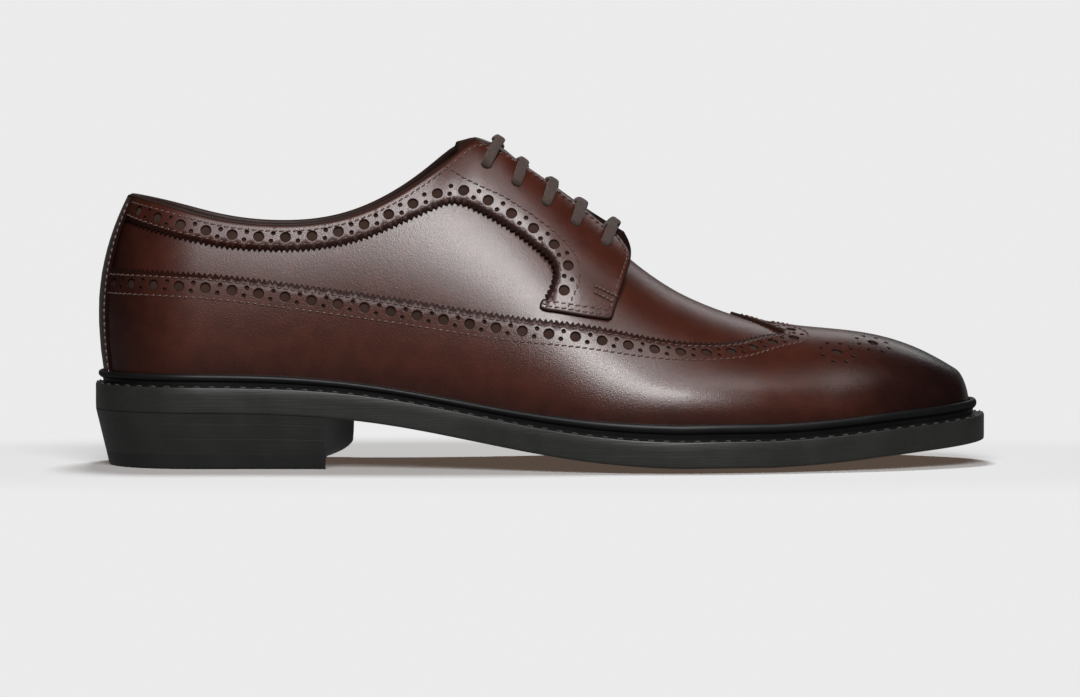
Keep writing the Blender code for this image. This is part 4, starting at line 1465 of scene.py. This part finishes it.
def lace_half(bar, side):
    """Points of half a bar from under its eyelet to over the gap."""
    share = np.array([run.share for run in LACE_RUN])
    above = np.array([run.above for run in LACE_RUN])
    above = above + bar.arch * np.clip(1 - share, 0, 1)
    u = bar.x + (bar.eyelet_x - bar.x) * np.maximum(share, 0)
    flat = flat_side(u, t_at_half_width(u, side, half_gap(u) + bar.from_edge * share), side)
    return UPPER.lifted(flat, facing_lift(flat) + above)


def lace_bar(bar):
    """Points of one bar from under the lateral eyelet over the gap to under the medial eyelet."""
    return np.concatenate((lace_half(bar, LATERAL), lace_half(bar, MEDIAL)[::-1]))


def smooth_path(points, step):
    """Close points at even distances along a smooth path through some points in space."""
    run = polyline_lengths(points)
    Knot = namedtuple("Knot", "x a b c")
    knots = [Knot(x, *point) for x, point in zip(run, points)]
    curves = [natural_spline(knots, name) for name in ("a", "b", "c")]
    fine = np.stack([curve(np.linspace(0, run[-1], 4000)) for curve in curves], -1)
    run = polyline_lengths(fine)
    places = np.linspace(0, run[-1], int(run[-1] / step) + 1)
    return np.stack([np.interp(places, run, fine[:, i]) for i in range(3)], -1)


def make_lace():
    """One braided lace: straight bars between the eyelets, and a run under the facing from row to row."""
    bars = [lace_bar(bar) for bar in LACE_BARS]
    turned = [bar if i % 2 == 0 else bar[::-1] for i, bar in enumerate(bars)]
    path = smooth_path(np.concatenate(turned), LACE_STEP)
    tangent = unit(np.gradient(path, axis=0))
    side_way = np.zeros_like(path)
    down_shoe = unit(bars[-1][0] - bars[0][0])
    side_way[0] = unit(down_shoe - (down_shoe @ tangent[0]) * tangent[0])
    for i in range(1, len(path)):
        flat_way = down_shoe - (down_shoe @ tangent[i]) * tangent[i]
        carried = side_way[i - 1] + LACE_TURN * np.sign(side_way[i - 1] @ flat_way) * flat_way
        side_way[i] = unit(carried - (carried @ tangent[i]) * tangent[i])
    up_way = np.cross(side_way, tangent)
    angle = np.arange(LACE_STRANDS) * 2 * pi / LACE_STRANDS
    run = polyline_lengths(path)[:, None]
    twist = 2 * pi * run / BRAID_PITCH
    braid = np.maximum(np.abs(np.sin(4 * angle + twist)), np.abs(np.sin(4 * angle - twist)))
    swell = BRAID_LOW + BRAID_RISE * braid
    wide, flat = (np.sign(way) * np.abs(way) ** LACE_SQUARENESS for way in (np.cos(angle), np.sin(angle)))
    points = (
        path[:, None]
        + (LACE_WIDE * wide * swell)[..., None] * side_way[:, None]
        + (LACE_FLAT * flat * swell)[..., None] * up_way[:, None]
    )
    rows = len(path)
    faces = grid_faces(rows, LACE_STRANDS, close_columns=True)
    faces.append(list(range(LACE_STRANDS)))
    faces.append([(rows - 1) * LACE_STRANDS + i for i in reversed(range(LACE_STRANDS))])
    lace = add_piece("lace", points.reshape(-1, 3), faces, [LACE_COTTON], sharp=75)
    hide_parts(*(f"lace_bar_{i + 1}" for i in range(len(LACE_BARS))))


# Welt
RIB_PITCH = 1.05
RIB_DEPTH = 0.16
WELT_EDGE_BANDS = (0, 1, 2)
WELT_STITCH_PITCH = 5.2
WELT_STITCH_LENGTH = 2.3
WELT_STITCH_RADIUS = 0.27


def make_welt():
    """The welt: a flange under the upper's edge and a rounded ribbed bead that stands against it."""
    u, side = ring_stations(RIB_PITCH / 2)
    base, outward = outline_frame(u, side)
    bead, margin = bead_height(u), sole_margin(u)
    stem_height = BEAD_STEM_SHARE * bead
    stem, lean = wall_offset(u, side, stem_height), wall_offset(u, side, bead)
    rib = np.where(np.arange(len(u)) % 2 == 0, 0.0, -RIB_DEPTH)
    lip = BEAD_LIP - BEAD_FOOT
    belly = np.linspace(-0.5 * pi, 0.5 * pi, 9)
    middle_out = BEAD_FOOT + (stem + lean) / 2
    middle_up, half = (stem_height + bead) / 2, (bead - stem_height) / 2
    profile = [
        (-WELT_INNER + 0 * u, -WELT_THICKNESS + 0 * u),
        (margin, -WELT_THICKNESS + 0 * u),
        (margin, -0.5 + 0 * u),
        (margin - 0.15, -0.15 + 0 * u),
        (margin - 0.5, 0 * u),
        (BEAD_FOOT + 0.5 + 0 * u, 0 * u),
        (BEAD_FOOT + 0 * u, 0.35 + 0 * u),
    ]
    for angle in belly:
        swell = cos(angle)
        profile.append((
            middle_out + (lip + rib * swell) * swell + (lean - stem) / 2 * sin(angle),
            middle_up + half * sin(angle),
        ))
    profile += [(GAP + lean, bead - 0.25), (GAP + stem, stem_height)]
    profile += [(GAP + 0 * u, 0 * u), (-WELT_INNER + 0 * u, 0 * u)]
    rows = []
    for out, up in profile:
        points = base + out[:, None] * outward
        points[:, 2] = seat_height(points[:, 0]) + up
        rows.append(points)
    points = np.stack(rows, 1)
    faces = grid_faces(len(u), len(profile), close_rows=True, close_columns=True)
    # The flange's outer edge takes the sole edge's black; the bead and groove take the darker black with
    # painted groove shade
    surfaces = np.tile(np.isin(np.arange(len(profile)), WELT_EDGE_BANDS).astype(int), len(u))
    welt = add_piece(
        "welt_strip", points.reshape(-1, 3), faces, [WELT_BLACK_AND_GROOVE_SHADE, EDGE_BLACK],
        face_surfaces=surfaces, sharp=50,
    )
    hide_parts("welt")


def make_welt_stitching():
    """Sole stitches that show on top of the flange."""
    u, side = ring_stations(WELT_STITCH_PITCH)
    base, outward = outline_frame(u, side)
    points = base + (sole_margin(u) - 0.5)[:, None] * outward
    points[:, 2] = seat_height(points[:, 0]) + 0.05
    tangent = unit(np.roll(points, -1, axis=0) - np.roll(points, 1, axis=0))
    stitches = Seams()
    up = unit(np.array((0, 0, 1.0)) + 0.35 * outward)
    stitches.add(points, tangent, up)
    stitches.make(
        "welt_stitching", WELT_THREAD, "welt_leather",
        length=WELT_STITCH_LENGTH, radius=WELT_STITCH_RADIUS, slant=0.0,
    )


# Sole and heel
HEEL_STATIONS = 26


def sole_sheet(us, columns, margin, rise):
    """A level-across table of points over the foot's outline, at a height above the seat line."""
    sides = []
    for side in (LATERAL, MEDIAL):
        base, outward = outline_frame(us, side)
        sides.append(base + np.asarray(margin)[:, None] * outward)
    share = np.linspace(0, 1, columns)[None, :, None]
    table = sides[0][:, None] + (sides[1] - sides[0])[:, None] * share
    table[..., 2] = seat_height(table[..., 0]) + rise
    return table


def add_block(name, tables, surfaces, under=0, sharp=32):
    """A solid between the first and the last of some tables of points, with walls along all their borders.

    The faces of the last table take the surface numbered under.
    """
    rows, columns = tables[0].shape[:2]
    index = np.arange(rows * columns).reshape(rows, columns)
    border = np.concatenate((index[0], index[1:, -1], index[-1, -2::-1], index[-2:0:-1, 0]))
    points = np.concatenate([table.reshape(-1, 3) for table in tables])
    count = rows * columns
    last = (len(tables) - 1) * count
    faces = grid_faces(rows, columns) + grid_faces(rows, columns, start=last, flip=True)
    picks = [0] * (len(faces) // 2) + [under] * (len(faces) // 2)
    for k in range(len(tables) - 1):
        above, below = border + k * count, border + (k + 1) * count
        walls = np.stack((above, np.roll(above, -1), np.roll(below, -1), below), -1).tolist()
        faces += walls
        picks += [0] * len(walls)
    piece = add_piece(name, points, faces, surfaces, face_surfaces=picks)
    clean = bmesh.new()
    clean.from_mesh(piece.data)
    bmesh.ops.delete(clean, geom=[vert for vert in clean.verts if not vert.link_faces], context="VERTS")
    bmesh.ops.remove_doubles(clean, verts=clean.verts, dist=1e-6)
    bmesh.ops.dissolve_degenerate(clean, edges=clean.edges, dist=1e-6)
    clean.to_mesh(piece.data)
    clean.free()
    piece.data.shade_smooth()
    piece.data.set_sharp_from_angle(angle=radians(sharp))
    return piece


def sole_stations(step=3.0):
    heel = np.linspace(0, HEEL_SWING, HEEL_STATIONS)
    ahead = np.arange(HEEL_SWING + 2, FLAT_TOE_TIP, step)
    return np.concatenate((u_of_flat(np.concatenate((heel, ahead))), [LAST_LENGTH]))


def make_outsole():
    """The full-length leather sole: a trimmed black edge and a brown underside."""
    us = sole_stations()
    margin = sole_margin(us)
    top, bottom = -WELT_THICKNESS, -SEAT_LOWEST
    levels = (
        (0.0, top), (0.0, top - 0.4), (0.02, (top + bottom) / 2), (0.0, bottom + 0.9), (-0.02, bottom + 0.45),
        (-0.14, bottom + 0.15), (-0.4, bottom),
    )
    across = np.linspace(-1, 1, 13)
    tables = [sole_sheet(us, len(across), margin + out, rise) for out, rise in levels]
    tables[-1][..., 2] -= rim_lift(tables[-1][..., 0]) * (1 - np.abs(across) ** 3)
    sole = add_block("leather_outsole", tables, [EDGE_BLACK, SOLE_BROWN], under=1)
    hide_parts("outsole")


def make_sock():
    """The insole with its sock lining, dished a little under the foot."""
    us = sole_stations()[:-2]
    inset = np.full(len(us), -INSOLE_INSET)
    top = sole_sheet(us, 17, inset, INSOLE_RISE)
    across = np.linspace(-1, 1, 17)
    top[..., 2] += 1.2 * np.abs(across) ** 3 - 0.2
    edge = sole_sheet(us, 17, inset, INSOLE_RISE + 0.4)
    bottom = sole_sheet(us, 17, inset, -WELT_THICKNESS)
    sock = add_block("sock_lining", [top, edge, bottom], [SOCK])
    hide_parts("insole")


# Stations along the solid heel, over which the shape of its breast fades
HEEL_CAD_STATIONS = (
    *np.linspace(0, HEEL_SWING, 9),
    *(HEEL_SWING + np.arange(1, 4) * (THROAT_X - HEEL_SWING) / 15),
    HEEL_BREAST,
)
LIFT_LINES = (15.9, 10.6)
NOTCH_HEIGHT = 7.0
NOTCH_DEPTH = 10.0


def heel_table(inset, level_of_x, notch=0.0):
    """Points over the heel's outline drawn in by an inset, each at the height that its x gives.

    notch takes the inner corner of the breast back.
    """
    heel = np.linspace(0, HEEL_SWING, HEEL_STATIONS)
    us = np.concatenate((heel, np.linspace(HEEL_SWING, HEEL_BREAST, 20)[1:]))
    table = sole_sheet(us, 15, sole_margin(us) - inset, 0.0)
    steps = len(HEEL_CAD_STATIONS) - 1
    reach = np.interp(us, HEEL_CAD_STATIONS, np.arange(steps + 1)) / steps
    across = np.linspace(-1, 1, 15)
    breast = HEEL_BREAST_SKEW * across - HEEL_BREAST_HOLLOW * (1 - across**2)
    breast = breast - notch * smooth_step(across, 0.1, 0.9)
    table[..., 0] += breast[None] * reach[:, None] ** HEEL_BREAST_FADE
    table[..., 2] = level_of_x(table[..., 0])
    return table


def under_sole(x):
    return seat_height(x) - SEAT_LOWEST


def notch_at(height):
    """How far the breast's inner corner is cut back, so that it does not catch."""
    return NOTCH_DEPTH * np.clip(1 - height / NOTCH_HEIGHT, 0, 1) ** 2.2


def make_heel():
    """The stack of lifts, with fine lines where they meet, and the top piece on the floor."""
    full = float(under_sole(0.0))
    foot = TOP_PIECE_THICKNESS

    def lift_table(height, inset=0.0):
        share = (height - foot) / (full - foot)
        taper = HEEL_TAPER * (1 - height / full)
        return heel_table(taper + inset, lambda x: foot + share * (under_sole(x) - foot), notch_at(height))

    levels = [(full, 0.0)]
    for line in LIFT_LINES:
        levels += [(line + 0.5, 0.0), (line + 0.1, 0.0), (line, 0.035), (line - 0.1, 0.0), (line - 0.5, 0.0)]
    levels += [(foot + 1.0, 0.0), (foot, 0.03)]
    stack = add_block("heel_lifts", [lift_table(*place) for place in levels], [HEEL_BLACK])
    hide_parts("heel_stack")

    def flat_table(height, inset=0.0):
        taper = HEEL_TAPER * (1 - height / full)
        return heel_table(taper + inset, lambda x: np.full(np.shape(x), height), notch_at(height))

    levels = ((foot, 0.03), (3.8, 0.0), (2.6, 0.0), (1.6, 0.0), (0.8, 0.0), (0.3, 0.06), (0.0, 0.3))
    top = add_block("heel_top_lift", [flat_table(*place) for place in levels], [RUBBER])
    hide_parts("heel_top_piece")


# Floor and light
FLOOR_HALF_WIDTH = 4.0
FLOOR_FRONT = -3.0
FLOOR_BACK = 2.2
SWEEP_RADIUS = 1.5
SWEEP_HEIGHT = 3.0
FLOOR_DROP = 0.00002


def make_floor():
    """A pale paper sweep that runs level under the shoe and curves up behind it."""
    turn = np.linspace(0, pi / 2, 24)
    curve = FLOOR_BACK + SWEEP_RADIUS * np.sin(turn)
    depth = np.concatenate(([FLOOR_FRONT], curve, [FLOOR_BACK + SWEEP_RADIUS]))
    height = np.concatenate(([0.0], SWEEP_RADIUS * (1 - np.cos(turn)), [SWEEP_HEIGHT])) - FLOOR_DROP
    sides = (-FLOOR_HALF_WIDTH, FLOOR_HALF_WIDTH)
    points = [(x, y, z) for y, z in zip(depth, height) for x in sides]
    mesh = bpy.data.meshes.new("paper_sweep")
    mesh.from_pydata(points, [], grid_faces(len(depth), 2, flip=True))
    paper = make_floor_surface()
    paper.cycles.emission_sampling = "NONE"
    mesh.materials.append(paper)
    mesh.shade_smooth()
    floor = bpy.data.objects.new("paper_sweep", mesh)
    bpy.context.scene.collection.objects.link(floor)
    return floor


Softbox = namedtuple("Softbox", "name place aim width height power lights_floor")
SOFTBOXES = (
    Softbox("key_softbox", (0.05, -1.13, 0.865), (0.0, 0.0, 0.05), 0.48, 0.46, 17.0, False),
    Softbox("mid_softbox", (0.18, -0.74, 1.22), (0.0, 0.0, 0.05), 0.36, 0.36, 2.6, False),
    Softbox("top_softbox", (0.42, -0.44, 1.22), (0.0, 0.0, 0.05), 0.60, 0.50, 2.8, False),
    Softbox("back_softbox", (0.40, 1.10, 0.77), (0.05, 0.0, 0.05), 0.70, 0.25, 1.0, False),
    Softbox("floor_back_softbox", (0.0, 0.42, 1.15), (0.0, 0.0, 0.0), 0.28, 0.22, 14.3, True),
    Softbox("floor_front_softbox", (0.06, -1.10, 0.93), (0.0, 0.0, 0.0), 0.90, 0.70, 19.3, True),
)
WORLD_LIGHT = 0.01


def make_light(floor):
    """Softboxes that light either the shoe or the paper under it, and a dim room."""
    for box in SOFTBOXES:
        data = bpy.data.lights.new(box.name, "AREA")
        data.shape, data.size, data.size_y, data.energy = "RECTANGLE", box.width, box.height, box.power
        light = bpy.data.objects.new(box.name, data)
        light.location = box.place
        light.rotation_euler = (Vector(box.aim) - Vector(box.place)).to_track_quat("-Z", "Y").to_euler()
        bpy.context.scene.collection.objects.link(light)
        receivers = bpy.data.collections.new(box.name + "_receivers")
        receivers.objects.link(floor)
        linking = receivers.collection_objects[0].light_linking
        linking.link_state = "INCLUDE" if box.lights_floor else "EXCLUDE"
        light.light_linking.receiver_collection = receivers
    world = bpy.data.worlds.new("studio")
    world.use_nodes = True
    backdrop = world.node_tree.nodes["Background"].inputs
    backdrop["Color"].default_value = rgb(1.0, 1.0, 1.0)
    backdrop["Strength"].default_value = WORLD_LIGHT
    bpy.context.scene.world = world
    bpy.context.scene.view_settings.view_transform = "Standard"


def make_upper():
    seams, tacks, hole_shades = Seams(), Seams(), HoleShadeDiscs()
    make_skin()
    make_lining()
    make_wing(seams, hole_shades)
    make_facing(LATERAL, "quarter_facing_lateral", "facing_lateral", seams, tacks, hole_shades)
    make_facing(MEDIAL, "quarter_facing_medial", "facing_medial", seams, tacks, hole_shades)
    make_back_strip(seams)
    make_tongue()
    seams.make("upper_stitching", THREAD, "upper_calf")
    tacks.make("bar_tacks", THREAD, "upper_calf", BAR_TACK_LENGTH, BAR_TACK_RADIUS)
    hole_shades.make("brogue_hole_shade", HOLE_SHADE, "upper_calf")


make_camera()
make_lace()
make_upper()
make_sock()
make_welt()
make_welt_stitching()
make_outsole()
make_heel()
make_light(make_floor())
